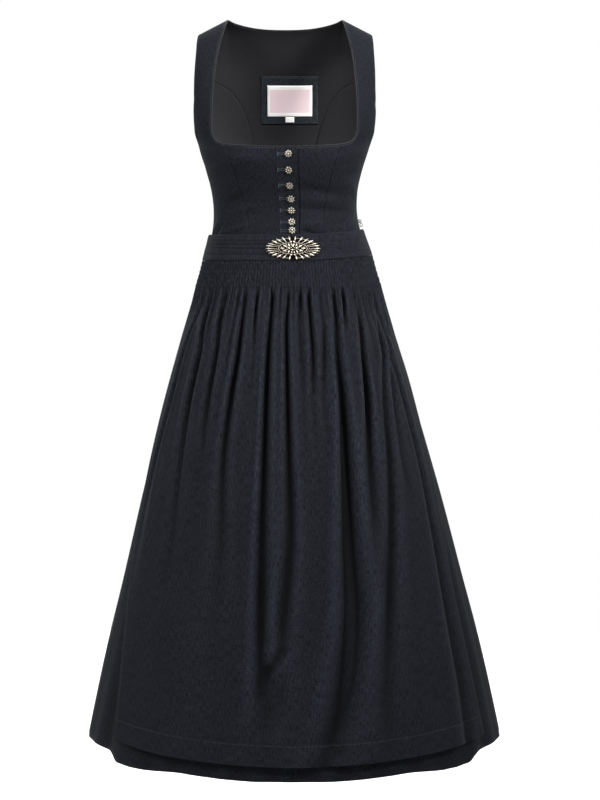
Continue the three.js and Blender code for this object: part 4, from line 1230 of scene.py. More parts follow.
@dataclass
class Bodice:
    """The fitted bodice: seven cut pieces, piping, top stitching and buttonholes."""

    wardrobe: Wardrobe
    lap: float = 12.0
    piping_radius: float = 1.05
    neck_inset: float = 1.6
    stitch_inset: float = 3.4
    hole_ends: tuple[float, float] = (-18.5, -6.4)
    hole_half_height: float = 1.35
    bar: tuple[float, float] = (-19.2, 3.3)
    hole_pitch: float = 0.8

    def creases(self, side: Side) -> tuple[Crease, ...]:
        """Gives the small pulls of one side's cloth on the wearer, different on each side.

        Args:
            side: the wearer's right or left.

        Returns:
            The creases.
        """
        s = side.value
        shift = 3 if side is Side.LEFT else 0
        own = (
            Crease((-78, 376), (-64, 344), 5, 2.2), Crease((-68, 376), (-54, 344), 4, -1.5),
            Crease((-52, 318), (-30, 296), 9, -2.4), Crease((-50, 240), (-10, 236), 11, 2.2),
            Crease((-56, 366), (-24, 348), 5, 1.2), Crease((-14, 318), (-48, 326), 6, 1.2),
        ) if side is Side.RIGHT else (
            Crease((70, 330), (42, 366), 9, 2.4), Crease((62, 366), (40, 376), 5, -1.6),
            Crease((8, 286), (50, 296), 9, -2.6), Crease((14, 306), (44, 308), 7, 1.8),
            Crease((10, 322), (54, 326), 6, -2.0), Crease((13, 350), (27, 348), 8, 3.0),
            Crease((12, 361), (34, 374), 4, -2.8), Crease((50, 272), (78, 300), 9, 2.0),
        )
        return own + (
            Crease((s * 34, 232 + shift), (s * 74, 214), 7, 1.2),
            Crease((s * 46, 262), (s * 86, 246 + shift), 8, -1.4),
            Crease((s * 66, 180), (s * 80, 206 + shift), 5, 1.2),
            Crease((s * 60, 120 + 4 * shift), (s * 72, 150), 6, -0.8),
            Crease((s * 96, 306), (s * 128, 330 + shift), 7, -1.4),
            Crease((s * 104, 342 - shift), (s * 150, 350), 6, 1.3),
            Crease((s * 118, 196 + shift), (s * 146, 236), 8, 1.2),
            Crease((s * 140, 286), (s * 172, 330 + shift), 9, -1.4),
            Crease((s * 150, 120 - shift), (s * 176, 132), 9, 0.8),
        )

    def under_lap(self, angle: Points, depth: Points) -> Points:
        """Returns how far the front under the lap is pressed in, beside the lapped edge."""
        away = FORM.surface(angle, np.sqrt(depth))[..., 0] - button_line(depth) - self.lap
        return -1.5 * np.exp(-(((away - 0.8) / 1.5) ** 2))

    def over_lap(self, angle: Points, depth: Points) -> Points:
        """Returns how far the lapping front lies out, over the front under it."""
        return overlap_out(FORM.surface(angle, np.sqrt(depth))[..., 0], depth)

    def build(self) -> None:
        """Makes the cut pieces and everything sewn on them."""
        right = front_places(Side.RIGHT, self.lap)
        left = front_places(Side.LEFT, self.lap)
        seams = (Edge.RIGHT, Edge.LEFT)
        right_creases, left_creases = self.creases(Side.RIGHT), self.creases(Side.LEFT)
        side_front, side_back = side_front_places(), side_back_places()
        pieces = (
            (CutPiece("right_front_cloth", right, self.over_lap, 120, 84, rolled=(Edge.RIGHT, Edge.TOP),
                      creases=right_creases), "bodice_front_right"),
            (CutPiece("left_front_cloth", left, self.under_lap, 110, 100, rolled=(Edge.LEFT, Edge.TOP),
                      creases=left_creases), "bodice_front_left"),
            (CutPiece("left_side_front_cloth", side_front, 0.0, 190, 54, rolled=seams,
                      creases=left_creases, corner=len(STRAP)), "bodice_side_front_left"),
            (CutPiece("right_side_front_cloth", mirrored(side_front), 0.0, 190, 54, rolled=seams,
                      creases=right_creases, corner=len(STRAP)), "bodice_side_front_right"),
            (CutPiece("back_cloth", back_places(), 0.0, 150, 100, rolled=seams,
                      creases=left_creases + right_creases), "bodice_back"),
            (CutPiece("left_side_back_cloth", side_back, 0.0, 120, 44, rolled=seams,
                      creases=left_creases, corner=len(BACK_ARMHOLE)), "bodice_side_back_left"),
            (CutPiece("right_side_back_cloth", mirrored(side_back), 0.0, 120, 44, rolled=seams,
                      creases=right_creases, corner=len(BACK_ARMHOLE)), "bodice_side_back_right"),
        )
        for piece, node in pieces:
            piece.build(self.wardrobe.cloth, "cloth", node)
        self.pipe_neckline()
        self.stitch_edges()
        self.work_buttonholes()

    def neck_half(self, side: Side, front: Sequence[float]) -> list[tuple[float, float]]:
        """Finds the places of one half of the neckline.

        Args:
            side: which half.
            front: how far its places on the fronts lie from the middle.

        Returns:
            The places, from the front up the strap and along the back, nearly to its middle.
        """
        sign = side.value
        deep = np.maximum(STRAP[::-1, 1], SHOULDER_SEAM)
        places = [(float(FORM.angle_of(x, neckline_depth(x))), float(neckline_depth(x))) for x in front]
        places += [(sign * float(FORM.angle_of(x, d)), float(d)) for x, d in zip(STRAP[::-1, 0], deep)]
        for x in (93, 83, 72.8, 56, 38.7, 20):
            depth = float(back_neck_depth(x))
            places.append((float(FORM.angle_of(sign * x, depth, True)), depth))
        return places

    def neckline(self) -> list[tuple[float, float]]:
        """Finds the line of the whole neckline.

        Returns:
            Its places, from the left front end round the back to the right.
        """
        edge = float(button_line(NECKLINE_DEPTH)) + self.lap
        left = self.neck_half(Side.LEFT, (edge + GAP, 45, 72, 98))
        right = self.neck_half(Side.RIGHT, (edge - GAP, -20, -60, -98))
        return left + [(180.0, BACK_NECK_DIP)] + right[::-1]

    def beside_neckline(self, off: float, out: float) -> Points:
        """Finds a line that runs beside the neckline.

        Args:
            off: how far into the opening it lies. Below 0 it lies on the cloth.
            out: how far out of the surface.

        Returns:
            The line's points in millimetres.
        """
        angle, depth = np.array(self.neckline()).T
        points = FORM.at(angle, depth, out)
        normal = FORM.at(angle, depth, 1) - FORM.at(angle, depth, 0)
        forward = np.roll(points, -1, axis=0) - np.roll(points, 1, axis=0)
        forward[0], forward[-1] = points[1] - points[0], points[-1] - points[-2]
        inward = np.cross(normal, forward)
        inward /= np.linalg.norm(inward, axis=1, keepdims=True)
        return points + inward * off

    def pipe_neckline(self) -> None:
        """Makes the piping along the neckline."""
        line = smooth_path(self.beside_neckline(1.3, -CLOTH / 2), 460)
        cord = tube(line, self.piping_radius, 10)
        piece = add_piece(cord, "neckline_piping", self.wardrobe.piping)
        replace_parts(piece, "neck_piping")

    def stitch_edges(self) -> None:
        """Sews the top stitching along the neckline and the armholes."""
        source = random.Random(3)
        mesh = bmesh.new()
        line = self.beside_neckline(-self.neck_inset, 0.22)
        StitchRow(smooth_path(line, 500), length=2.4, pitch=4.8, radius=0.32).add_to(mesh, source)
        add_piece(mesh, "neckline_stitching", self.wardrobe.pale_thread)
        mesh = bmesh.new()
        for sign in (-1, 1):
            hole = [(sign * float(FORM.angle_of(x - self.stitch_inset, max(d, 1.0))), max(d, 1.0))
                    for x, d in STRAP[:, 2:]]
            StitchRow(path_on_form(hole, 0.25, 160)).add_to(mesh, source)
        add_piece(mesh, "armhole_stitching", self.wardrobe.thread)

    def work_buttonholes(self) -> None:
        """Sews a worked buttonhole beside each button, with a bar at its far end."""
        source = random.Random(5)
        bar_x, half_bar = self.bar
        mesh = bmesh.new()
        for depth, _ in BUTTONS:
            middle = float(button_line(depth))
            for row in (-self.hole_half_height, self.hole_half_height):
                for x in np.arange(*self.hole_ends, self.hole_pitch):
                    self.add_stitch(mesh, middle + x, depth - row, 0.7, 0.85, source)
            for lift in np.arange(-half_bar, half_bar + 0.1, self.hole_pitch):
                self.add_stitch(mesh, middle + bar_x, depth - lift, 1.3, 0.75, source)
        add_piece(mesh, "worked_buttonholes", self.wardrobe.hole_thread)

    def add_stitch(self, mesh: bmesh.types.BMesh, x: float, depth: float, wide: float, tall: float,
                   source: random.Random) -> None:
        """Adds one small stitch on the lapped front.

        Args:
            mesh: the mesh in metres that gets it.
            x: its distance from the middle.
            depth: its depth.
            wide: its width in millimetres.
            tall: its height in millimetres.
            source: gives it its small turn.
        """
        out = float(overlap_out(x, depth)) + 0.2
        angle = float(FORM.angle_of(x, depth))
        centre, lifted = FORM.at(angle, depth, out), FORM.at(angle, depth - 1, out)
        normal = Vector(FORM.at(angle, depth, out + 1) - centre)
        up = (Vector(lifted - centre) + Vector((source.uniform(-0.1, 0.1), 0, 0))).normalized()
        across = up.cross(normal).normalized()
        turn = Matrix((across, up, normal)).transposed().to_4x4()
        size = Matrix.Diagonal((wide / 2 * MM, tall / 2 * MM, 0.28 * MM, 1))
        bmesh.ops.create_icosphere(mesh, subdivisions=1, radius=1.0,
                                   matrix=Matrix.Translation(Vector(centre) * MM) @ turn @ size)


@dataclass
class BackLining:
    """The near-black lining of the back with its patch, label and size tab.

    Each of those is given by its distance from the middle, its depth, its width and its height.
    """

    wardrobe: Wardrobe
    out: float = -CLOTH - GAP
    patch: tuple[float, float, float, float] = (8, 125, 105, 80)
    label: tuple[float, float, float, float] = (8.5, 125.2, 82, 51)
    tab: tuple[float, float, float, float] = (8.5, 155.8, 16, 9.4)
    patch_inset: float = 3.2

    def inside_places(self, middle: float, depth: float, width: float, height: float) -> Points:
        """Lays out a flat piece sewn inside the back.

        Args:
            middle: its distance from the middle.
            depth: its middle's depth.
            width: its width.
            height: its height.

        Returns:
            Rows of places, from its top down.
        """
        rows = []
        for share in np.linspace(0, 1, 5):
            at = depth + height * (share - 0.5)
            x = middle + width * (0.5 - np.linspace(0, 1, 7))
            rows.append(np.stack([FORM.angle_of(x, at, True), np.full(7, at)], axis=-1))
        return np.array(rows)

    def build(self) -> None:
        """Makes the lining's pieces and what is sewn on it."""
        seams = (Edge.RIGHT, Edge.LEFT)
        creases = (
            Crease((150, 190), (172, 238), 8, -1.0), Crease((-152, 200), (-170, 250), 9, -1.2),
            Crease((158, 62), (176, 74), 6, -0.6), Crease((-164, 56), (-146, 80), 7, 0.5),
        )
        side_back = side_back_places()
        CutPiece("back_lining_cloth", back_places(), self.out, 110, 84, 0.8, seams, -0.5, 2.2,
                 creases).build(self.wardrobe.lining, "lining", "lining_back")
        # The left side lining stops short of the zip.
        for name, places in (("left", side_back[:, 1:]), ("right", mirrored(side_back))):
            CutPiece(f"{name}_side_lining_cloth", places, self.out, 90, 38, 0.8, seams, -0.5, 2.2,
                     corner=len(BACK_ARMHOLE),
                     ).build(self.wardrobe.lining, "lining", f"lining_side_back_{name}")
        patch_out = self.out - LINING - GAP
        label_out = patch_out - LINING - 2 * GAP
        CutPiece("label_patch_cloth", self.inside_places(*self.patch), patch_out, 30, 40, 0.7,
                 tuple(Edge), -0.4, 2.0, held="laid").build(self.wardrobe.patch, "cloth", "label_patch")
        CutPiece("bare_label", self.inside_places(*self.label), label_out, 24, 30, 0.6,
                 tuple(Edge), -0.25, 2.0, held="laid").build(self.wardrobe.label, "label", "label")
        CutPiece("bare_size_tab", self.inside_places(*self.tab), label_out, 8, 10, 0.6,
                 held="laid").build(self.wardrobe.size_tab, "label", "size_tab")
        self.stitch_patch(patch_out)

    def stitch_patch(self, out: float) -> None:
        """Sews the patch on, all round, a little inside its edge.

        Args:
            out: how far out of the surface the patch lies.
        """
        source = random.Random(7)
        middle, depth, width, height = self.patch
        half_width, half_height = width / 2 - self.patch_inset, height / 2 - self.patch_inset
        corners = [(middle + sx * half_width, depth + sd * half_height)
                   for sx, sd in ((-1, -1), (1, -1), (1, 1), (-1, 1))]
        mesh = bmesh.new()
        for (xa, da), (xb, db) in zip(corners, corners[1:] + corners[:1]):
            places = [(float(FORM.angle_of(mix(xa, xb, t), mix(da, db, t), True)), mix(da, db, t))
                      for t in np.linspace(0, 1, 8)]
            StitchRow(path_on_form(places, out - 0.95, 40)).add_to(mesh, source)
        add_piece(mesh, "patch_stitching", self.wardrobe.pale_thread)


@dataclass
class Skirt:
    """The long skirt in four panels, gathered at the waist.

    A panel is given by its node, its first and last angle and its steps across. Under the corners
    of the apron the hem dips a little.
    """

    wardrobe: Wardrobe
    panels: tuple[tuple[str, float, float, int], ...] = (
        ("skirt_front_right", -90, 0, 110), ("skirt_front_left", 0, 90, 110),
        ("skirt_back_left", 90, 180, 270), ("skirt_back_right", 180, 270, 270),
    )
    rows: int = 84
    corner_dip: float = 11.0

    def places(self, start: float, end: float) -> Points:
        """Lays out a panel.

        Args:
            start: its first angle.
            end: its last angle.

        Returns:
            Rows of places, from the waist to the hem.
        """
        rows = []
        for depth in np.linspace(WAIST_DEPTH + GAP, HEM_DEPTH, 24):
            angle = np.linspace(start, end, 31)
            corner = ease(30, 50, np.abs(angle)) * (1 - ease(57, 62, np.abs(angle)))
            dip = self.corner_dip * corner * ease(1000, HEM_DEPTH, depth)
            rows.append(np.stack([angle, depth - hem_rise(angle, depth) + dip], axis=-1))
        return np.array(rows)

    def drape(self, angle: Points, depth: Points) -> Points:
        """Returns the folds of the skirt at places."""
        return skirt_drape(from_front(angle), depth)

    def build(self) -> None:
        """Makes the four panels."""
        for node, start, end, columns in self.panels:
            CutPiece(node + "_cloth", self.places(start, end), self.drape, self.rows, columns, 1.1,
                     (Edge.RIGHT, Edge.LEFT), 0.5, 1.6, fullness=1.12, held="gathered",
                     ).build(self.wardrobe.cloth, "cloth", node)


@dataclass
class Apron:
    """The apron: its smocked top, its fall in long folds, and its hem."""

    wardrobe: Wardrobe
    out: float = 3.7
    ridges: int = 88
    relief: float = 2.1
    row_pitch: float = 8.0
    columns: int = 528
    smock_rows: int = 22
    fall_rows: int = 66
    hem_width: float = 36.0

    def places(self) -> Points:
        """Lays out the apron, with close rows in the smocking and at the hem.

        Returns:
            Rows of places, from the belt to the hem.
        """
        hem_top = APRON_HEM_DEPTH - self.hem_width
        depths = np.concatenate([
            np.linspace(BELT_BOTTOM + 0.6, SMOCK_END, self.smock_rows + 1),
            np.linspace(SMOCK_END, hem_top - 6, self.fall_rows - 9)[1:],
            hem_top + np.array([-3, -1.2, 0, 1.2, 3, 12, 24]), APRON_HEM_DEPTH - np.array([2.5, 0.8, 0]),
        ])[:, None]
        across = np.linspace(0, 1, self.columns + 1)[None, :]
        angle = mix(apron_edge(Side.RIGHT, depths), apron_edge(Side.LEFT, depths), across)
        share = np.clip((SMOCK_END - depths) / (SMOCK_END - depths[0]), 0, 1)
        return np.stack([angle, depths - hem_rise(angle, depths) - share * belt_rise(angle)], axis=-1)

    def drape_at(self, angle: Points, depth: Points) -> Points:
        """Returns how far the apron lies out at places below the smocking."""
        return self.out + apron_drape(angle, depth, self.out) + 0.5

    def drape(self, angle: Points, depth: Points) -> Points:
        """Finds the smocking's ridges and the folds that fall from them.

        Args:
            angle: degrees round the body.
            depth: distance below the shoulders.

        Returns:
            How far the cloth lies out of the body.
        """
        across = self.ridges * np.linspace(0, 1, self.columns + 1)[None, :] * np.ones_like(angle)
        lift = belt_rise(angle) * (SMOCK_END - depth) / (SMOCK_END - BELT_BOTTOM)
        row = (depth + lift - BELT_BOTTOM) / self.row_pitch
        pinch = 0.2 * np.sin(np.pi * across) * np.sin(np.pi * row) + 0.1 * np.sin(row * 2.1 + across * 0.47)
        ridge = 0.5 - 0.5 * np.cos(2 * np.pi * (across + pinch))
        tied = 1 - 0.45 * np.abs(np.cos(np.pi * row)) ** 6
        fading = 1 - ease(SMOCK_END - 4, SMOCK_END + 40, depth)
        drape = np.where(depth > SMOCK_END - 10, apron_drape(angle, depth, self.out), 0)
        from_hem = APRON_HEM_DEPTH - hem_rise(angle, depth) - depth
        hem = 0.5 * (1 - ease(self.hem_width - 0.6, self.hem_width + 0.6, from_hem))
        hem = hem - 0.5 * np.exp(-(((from_hem - self.hem_width - 1.2) / 1.5) ** 2))
        return self.out + self.relief * ridge**1.4 * tied * fading + drape + hem

    def build(self) -> None:
        """Makes the apron and sews its hem and side edges."""
        CutPiece("apron_cloth", self.places(), self.drape, self.smock_rows + self.fall_rows,
                 self.columns, 1.0, fullness=1.25, held="gathered",
                 ).build(self.wardrobe.apron, "apron", "apron")
        source = random.Random(9)
        mesh = bmesh.new()
        for line in (self.hem_line(), self.side_line(Side.RIGHT), self.side_line(Side.LEFT)):
            angle, depth = line.T
            out = self.drape_at(angle, depth) + 0.15
            path = smooth_path(FORM.at(angle, depth, out), 400)
            StitchRow(path, length=2.6, pitch=3.4, radius=0.3).add_to(mesh, source)
        add_piece(mesh, "apron_hem_stitching", self.wardrobe.thread)

    def hem_line(self) -> Points:
        """Finds the line of the hem's stitches.

        Returns:
            Its places, from edge to edge.
        """
        depth = APRON_HEM_DEPTH - self.hem_width + 2.0
        right, left = float(apron_edge(Side.RIGHT, depth)), float(apron_edge(Side.LEFT, depth))
        angle = np.linspace(right + 1.2, left - 1.2, 240)
        return np.stack([angle, depth - HEM_RISE * np.sin(np.radians(angle)) ** 2], axis=-1)

    def side_line(self, side: Side) -> Points:
        """Finds the line of the stitches one degree inside a side edge of the apron.

        Args:
            side: the wearer's right or left.

        Returns:
            Its places, from the smocking to the hem.
        """
        depth = np.linspace(SMOCK_END + 8, APRON_HEM_DEPTH - 4, 120)
        angle = apron_edge(side, depth) - side.value
        return np.stack([angle, depth - hem_rise(angle, depth)], axis=-1)


@dataclass
class Belt:
    """The apron's band and the belt's two halves over it."""

    wardrobe: Wardrobe
    band_out: float = 3.7
    clasp_x: float = 9.3
    clasp_depth: float = 394.0

    @property
    def belt_out(self) -> float:
        """Returns how far the belt's face lies out of the body at the front."""
        return self.band_out + 2 * GAP + CLOTH

    def band(self, top: float, bottom: float, start: float, end: float) -> Points:
        """Lays out a band, which rises on the wearer's left.

        Args:
            top: its upper depth.
            bottom: its lower depth.
            start: its first angle.
            end: its last angle.

        Returns:
            Rows of places, from its top down.
        """
        angle = np.linspace(start, end, 61)[None, :] * np.ones((5, 1))
        depth = np.linspace(top, bottom, 5)[:, None] * np.ones((1, 61))
        return np.stack([angle, depth - belt_rise(angle)], axis=-1)

    def halves_out(self, angle: Points, depth: Points) -> Points:
        """Finds how far a half lies out, with the level pleats that a soft belt takes.

        A pleat has its place below the belt's top, its height, its width, how far round it reaches
        and its slope.

        Args:
            angle: degrees round the body.
            depth: distance below the shoulders.

        Returns:
            How far the cloth lies out of the body.
        """
        around = np.where(np.abs(angle) > 180, 360 - np.abs(angle), np.abs(angle))
        down = depth + belt_rise(angle) - BELT_TOP
        pleat = np.zeros_like(angle)
        for at, high, width, spread, lean in ((9, 0.8, 1.6, 60, 0.02), (17, -1.1, 1.4, 70, -0.03),
                                              (26, -1.2, 1.5, 54, 0.03), (36, -1.0, 1.4, 74, 0.01)):
            fade = np.exp(-((around / spread) ** 2)) * np.where(angle < 10, 1.0, 0.45)
            pleat += high * fade * np.exp(-(((down - at - lean * angle) / width) ** 2))
        return mix(self.belt_out, 2 * GAP + CLOTH, ease(92, 112, around)) + pleat

    def build(self) -> None:
        """Makes the band and both halves, rolled at their edges."""
        middle = float(FORM.angle_of(self.clasp_x, self.clasp_depth))
        edges = (Edge.TOP, Edge.BOTTOM)
        band = self.band(BELT_TOP + 2, BELT_BOTTOM - 0.2, -86, 86)
        CutPiece("apron_band_cloth", band, self.band_out, 14, 150, 1.0, edges, 0.5, 1.4,
                 held="stretched").build(self.wardrobe.apron, "apron", "apron_band")
        for name, start, end in (("left", middle + 0.2, 179.9), ("right", -179.9, middle - 0.2)):
            half = self.band(BELT_TOP, BELT_BOTTOM + 0.5, start, end)
            CutPiece(f"belt_{name}_cloth", half, self.halves_out, 46, 200, 1.2, edges, 0.8, 1.5,
                     held="stretched").build(self.wardrobe.apron, "apron", f"belt_{name}")


def add_ball(mesh: bmesh.types.BMesh, place: tuple[float, float, float], size: tuple[float, float, float],
             turn: float = 0.0, fine: int = 2) -> None:
    """Adds a rounded grain of metal.

    Args:
        mesh: the mesh in millimetres that gets it.
        place: its middle.
        size: its half sizes.
        turn: how far its length is turned in the plane, in radians.
        fine: how finely it is rounded.
    """
    matrix = Matrix.Translation(place) @ Matrix.Rotation(turn, 4, "Z") @ Matrix.Diagonal((*size, 1))
    bmesh.ops.create_icosphere(mesh, subdivisions=fine, radius=1.0, matrix=matrix)


def add_block(mesh: bmesh.types.BMesh, place: Sequence[float], size: tuple[float, float, float]) -> None:
    """Adds a block of metal with its middle at a place."""
    bmesh.ops.create_cube(mesh, size=1.0, matrix=Matrix.Translation(place) @ Matrix.Diagonal((*size, 1)))


def add_ring(mesh: bmesh.types.BMesh, radii: tuple[float, float], wire: float, height: float,
             span: tuple[float, float] = (0, 360), middle: tuple[float, float] = (0, 0)) -> None:
    """Adds a wire bent along an ellipse or a part of one.

    Args:
        mesh: the mesh in millimetres that gets it.
        radii: the ellipse's half sizes.
        wire: the wire's radius.
        height: how high its middle lies.
        span: its first and last angle in degrees.
        middle: the ellipse's middle.
    """
    upright = Matrix.Translation((1, 0, 0)) @ Matrix.Rotation(math.pi / 2, 4, "X")
    start = Matrix.Rotation(math.radians(span[0]), 4, "Z")
    rim = bmesh.ops.create_circle(mesh, segments=8, radius=wire, matrix=start @ upright)["verts"]
    whole = span[1] - span[0] >= 360
    steps = max(6, int((span[1] - span[0]) / 7))
    edges = list({e for v in rim for e in v.link_edges})
    bmesh.ops.spin(mesh, geom=rim + edges, cent=(0, 0, 0), axis=(0, 0, 1),
                   angle=math.radians(span[1] - span[0]), steps=steps, use_merge=whole)
    seen, queue = set(rim), list(rim)
    while queue:
        vert = queue.pop()
        for edge in vert.link_edges:
            other = edge.other_vert(vert)
            if other not in seen:
                seen.add(other)
                queue.append(other)
    for v in seen:
        flat = Vector((v.co.x, v.co.y))
        around, off = flat.normalized(), flat.length - 1
        v.co = (middle[0] + around.x * (radii[0] + off), middle[1] + around.y * (radii[1] + off),
                v.co.z + height)
    if not whole:
        ends = [e for e in mesh.edges if e.is_boundary and e.verts[0] in seen]
        bmesh.ops.holes_fill(mesh, edges=ends, sides=0)


def mark_painted_light(mesh: bmesh.types.BMesh, crests_only: bool = True) -> None:
    """Marks where cast metal is bright, which the finish reads: polished with a painted highlight where it
    faces out, tarnished with painted shade where it faces sideways.

    Args:
        mesh: the mesh. Its Z is out of the cloth where only crests are bright.
        crests_only: whether what faces sideways is darkened with tarnish and painted shade.
    """
    bright = mesh.verts.layers.float.new(PAINTED_CREST_LIGHT)
    mesh.normal_update()
    for vert in mesh.verts:
        vert[bright] = float(ease(0.42, 0.9, vert.normal.z)) if crests_only else 1.0


@dataclass
class Metalwork:
    """The buttons and the clasp: cast petals, grains and wires over an oxidised ground."""

    wardrobe: Wardrobe
    belt: Belt
    clasp_half: tuple[float, float] = (46.5, 20.5)
    plate_share: float = 0.93
    petals: int = 13
    bud: tuple[float, float] = (6.4, 0.4)
    bud_petals: int = 7
    button_petals: int = 8

    def button(self) -> bmesh.types.BMesh:
        """Makes one button: a star of petals round a bud, on a shank.

        Returns:
            The mesh in millimetres, with Z out of the cloth.
        """
        mesh = bmesh.new()
        dome = Matrix.Translation((0, 0, 2.0)) @ Matrix.Diagonal((5.0, 5.0, 1.8, 1))
        bmesh.ops.create_uvsphere(mesh, u_segments=24, v_segments=10, radius=1.0, matrix=dome)
        bmesh.ops.create_cone(mesh, cap_ends=True, segments=10, radius1=1.5, radius2=1.5, depth=2.2,
                              matrix=Matrix.Translation((0, 0, 1.1)))
        ground = len(mesh.faces)
        add_ring(mesh, (4.7, 4.7), 0.32, 2.4)
        step = 360 / self.button_petals
        for i in range(self.button_petals):
            turn = math.radians(step * i + 8)
            add_ball(mesh, (4.1 * math.cos(turn), 4.1 * math.sin(turn), 3.4), (1.9, 0.8, 1.0), turn)
            add_ball(mesh, (6.0 * math.cos(turn), 6.0 * math.sin(turn), 2.9), (0.7, 0.62, 0.7), turn)
            half = turn + math.radians(step / 2)
            add_ball(mesh, (5.0 * math.cos(half), 5.0 * math.sin(half), 2.7), (0.42, 0.42, 0.45), fine=1)
            add_ball(mesh, (2.1 * math.cos(half), 2.1 * math.sin(half), 4.1), (0.6, 0.5, 0.6), half, 1)
        add_ball(mesh, (0, 0, 4.5), (1.6, 1.6, 1.2))
        mesh.faces.ensure_lookup_table()
        for face in mesh.faces[:ground]:
            face.material_index = 1
        # Painted highlight on the faces turned out, painted shade on the flanks.
        mark_painted_light(mesh)
        return mesh

    def build_buttons(self) -> None:
        """Makes the seven buttons, each turned a little differently."""
        for i, (depth, seat) in enumerate(BUTTONS):
            mesh = self.button()
            turn = Matrix.Rotation(0.35 * i, 3, "Z")
            bmesh.ops.rotate(mesh, verts=mesh.verts, cent=(0, 0, 0), matrix=turn)
            x = float(button_line(depth))
            laid_on_form(mesh, x, depth, float(overlap_out(x, depth)) + seat)
            piece = add_piece(mesh, f"filigree_button_{i + 1}", self.wardrobe.silver,
                              others=(self.wardrobe.oxide,))
            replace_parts(piece, f"button_{i + 1}")

    def at(self, degrees: float, share: float) -> Vector:
        """Finds a point of the clasp's plane.

        Args:
            degrees: its angle round the middle.
            share: its share of the way to the rim.

        Returns:
            The point in millimetres.
        """
        turn = math.radians(degrees)
        across, up = self.clasp_half
        return Vector((0.9 + across * share * math.cos(turn), up * share * math.sin(turn)))

    def clasp(self) -> bmesh.types.BMesh:
        """Makes the left half of the clasp: petals and grains on a dark plate.

        Returns:
            The mesh in millimetres, with Z out of the cloth.
        """
        mesh = bmesh.new()
        (across, up), inset = self.clasp_half, self.plate_share
        bmesh.ops.create_circle(mesh, cap_ends=True, segments=64, radius=1.0,
                                matrix=Matrix.Diagonal((across * inset, up * inset, 1, 1)))
        bmesh.ops.bisect_plane(mesh, geom=mesh.verts[:] + mesh.edges[:] + mesh.faces[:],
                               plane_co=(0.8, 0, 0), plane_no=(-1, 0, 0), clear_outer=True)
        plate = bmesh.ops.extrude_face_region(mesh, geom=mesh.faces[:])
        bmesh.ops.translate(mesh, verts=[g for g in plate["geom"] if isinstance(g, bmesh.types.BMVert)],
                            vec=(0, 0, 1.1))
        bmesh.ops.recalc_face_normals(mesh, faces=mesh.faces)
        bmesh.ops.triangulate(mesh, faces=[f for f in mesh.faces if len(f.verts) > 4])
        long_edges = [e for e in mesh.edges if e.calc_length() > 6]
        bmesh.ops.subdivide_edges(mesh, edges=long_edges, cuts=2, use_grid_fill=True)
        ground = len(mesh.faces)
        step = 180 / self.petals
        source = random.Random(17)
        for i in range(self.petals):
            turn = -90 + step * (i + 0.5) + source.uniform(-1.2, 1.2)
            inner, outer = self.at(turn, 0.58), self.at(turn, 0.93 + source.uniform(-0.02, 0.02))
            middle, run = mix(inner, outer, source.uniform(0.66, 0.74)), outer - inner
            lie = math.atan2(run.y, run.x) + source.uniform(-0.07, 0.07)
            wide = (1.4 if abs(turn) > 40 else 1.05) * source.uniform(0.85, 1.12)
            add_ball(mesh, (*middle, 1.9), (run.length * 0.3, wide, 1.3), lie, 3)
            add_ball(mesh, (*mix(inner, outer, 0.4), 1.5), (run.length * 0.5, 0.45, 0.9), lie)
            add_ball(mesh, (*self.at(turn, 0.955), 1.7), (0.95, wide * 0.8, 1.1), lie)
            add_ball(mesh, (*self.at(turn, 0.57), 2.3), (0.9, 0.8, 1.0), lie)
            if i:
                add_ball(mesh, (*self.at(turn - step / 2, 0.74), 1.3), (0.55, 0.5, 0.6), fine=1)
        for share, wire, height in ((0.87, 0.3, 1.2), (0.5, 0.42, 2.0)):
            add_ring(mesh, (across * share, up * share), wire, height, (-87, 87), (0.9, 0))
        for turn, reach, long in ((-66, 0.33, 2.6), (-34, 0.33, 3.2), (2, 0.36, 3.8), (38, 0.33, 3.2),
                                  (69, 0.33, 2.5)):
            place = self.at(turn, reach)
            lie = math.atan2(place.y, place.x - 4)
            add_ball(mesh, (*place, 2.4), (long, 1.25, 1.1), lie, 3)
            add_ball(mesh, (*self.at(turn + 16, reach * 1.12), 2.3), (1.0, 0.85, 0.9), lie)
        bud_x, bud_y = self.bud
        add_ball(mesh, (bud_x, bud_y, 3.2), (1.9, 1.9, 1.6), 0, 3)
        for i in range(self.bud_petals):
            turn = math.radians(360 / self.bud_petals * i + 10)
            place = (bud_x + 3.9 * math.cos(turn), bud_y + 3.9 * math.sin(turn), 2.7)
            add_ball(mesh, place, (1.05, 0.9, 1.0), turn)
        for lift in (-11.5, -7.0, 7.2, 11.8):
            add_ball(mesh, (2.2, lift, 2.0), (1.4, 1.7, 1.3), 0.4)
        mesh.faces.ensure_lookup_table()
        for face in mesh.faces[:ground]:
            face.material_index = 1
        return mesh

    def build_clasp(self) -> None:
        """Makes both halves of the clasp, one the mirror of the other, and the hook between them."""
        out = self.belt.belt_out + 3 * GAP
        for name, side in (("left", Side.LEFT), ("right", Side.RIGHT)):
            mesh = self.clasp()
            if side is Side.RIGHT:
                bmesh.ops.scale(mesh, verts=mesh.verts, vec=(-1, 1, 1))
                bmesh.ops.reverse_faces(mesh, faces=mesh.faces)
            else:
                add_ball(mesh, (0.2, 4.6, 3.0), (1.7, 2.6, 1.1), 0.5)
                add_ball(mesh, (-0.6, -2.6, 2.9), (1.9, 1.8, 1.0), -0.3)
            # Painted highlight on the faces turned out, painted shade on the flanks.
            mark_painted_light(mesh)
            laid_on_form(mesh, self.belt.clasp_x, self.belt.clasp_depth, out)
            piece = add_piece(mesh, f"clasp_half_{name}", self.wardrobe.silver,
                              others=(self.wardrobe.oxide,))
            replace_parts(piece, f"clasp_{name}")

    def build(self) -> None:
        """Makes the buttons and the clasp."""
        self.build_buttons()
        self.build_clasp()


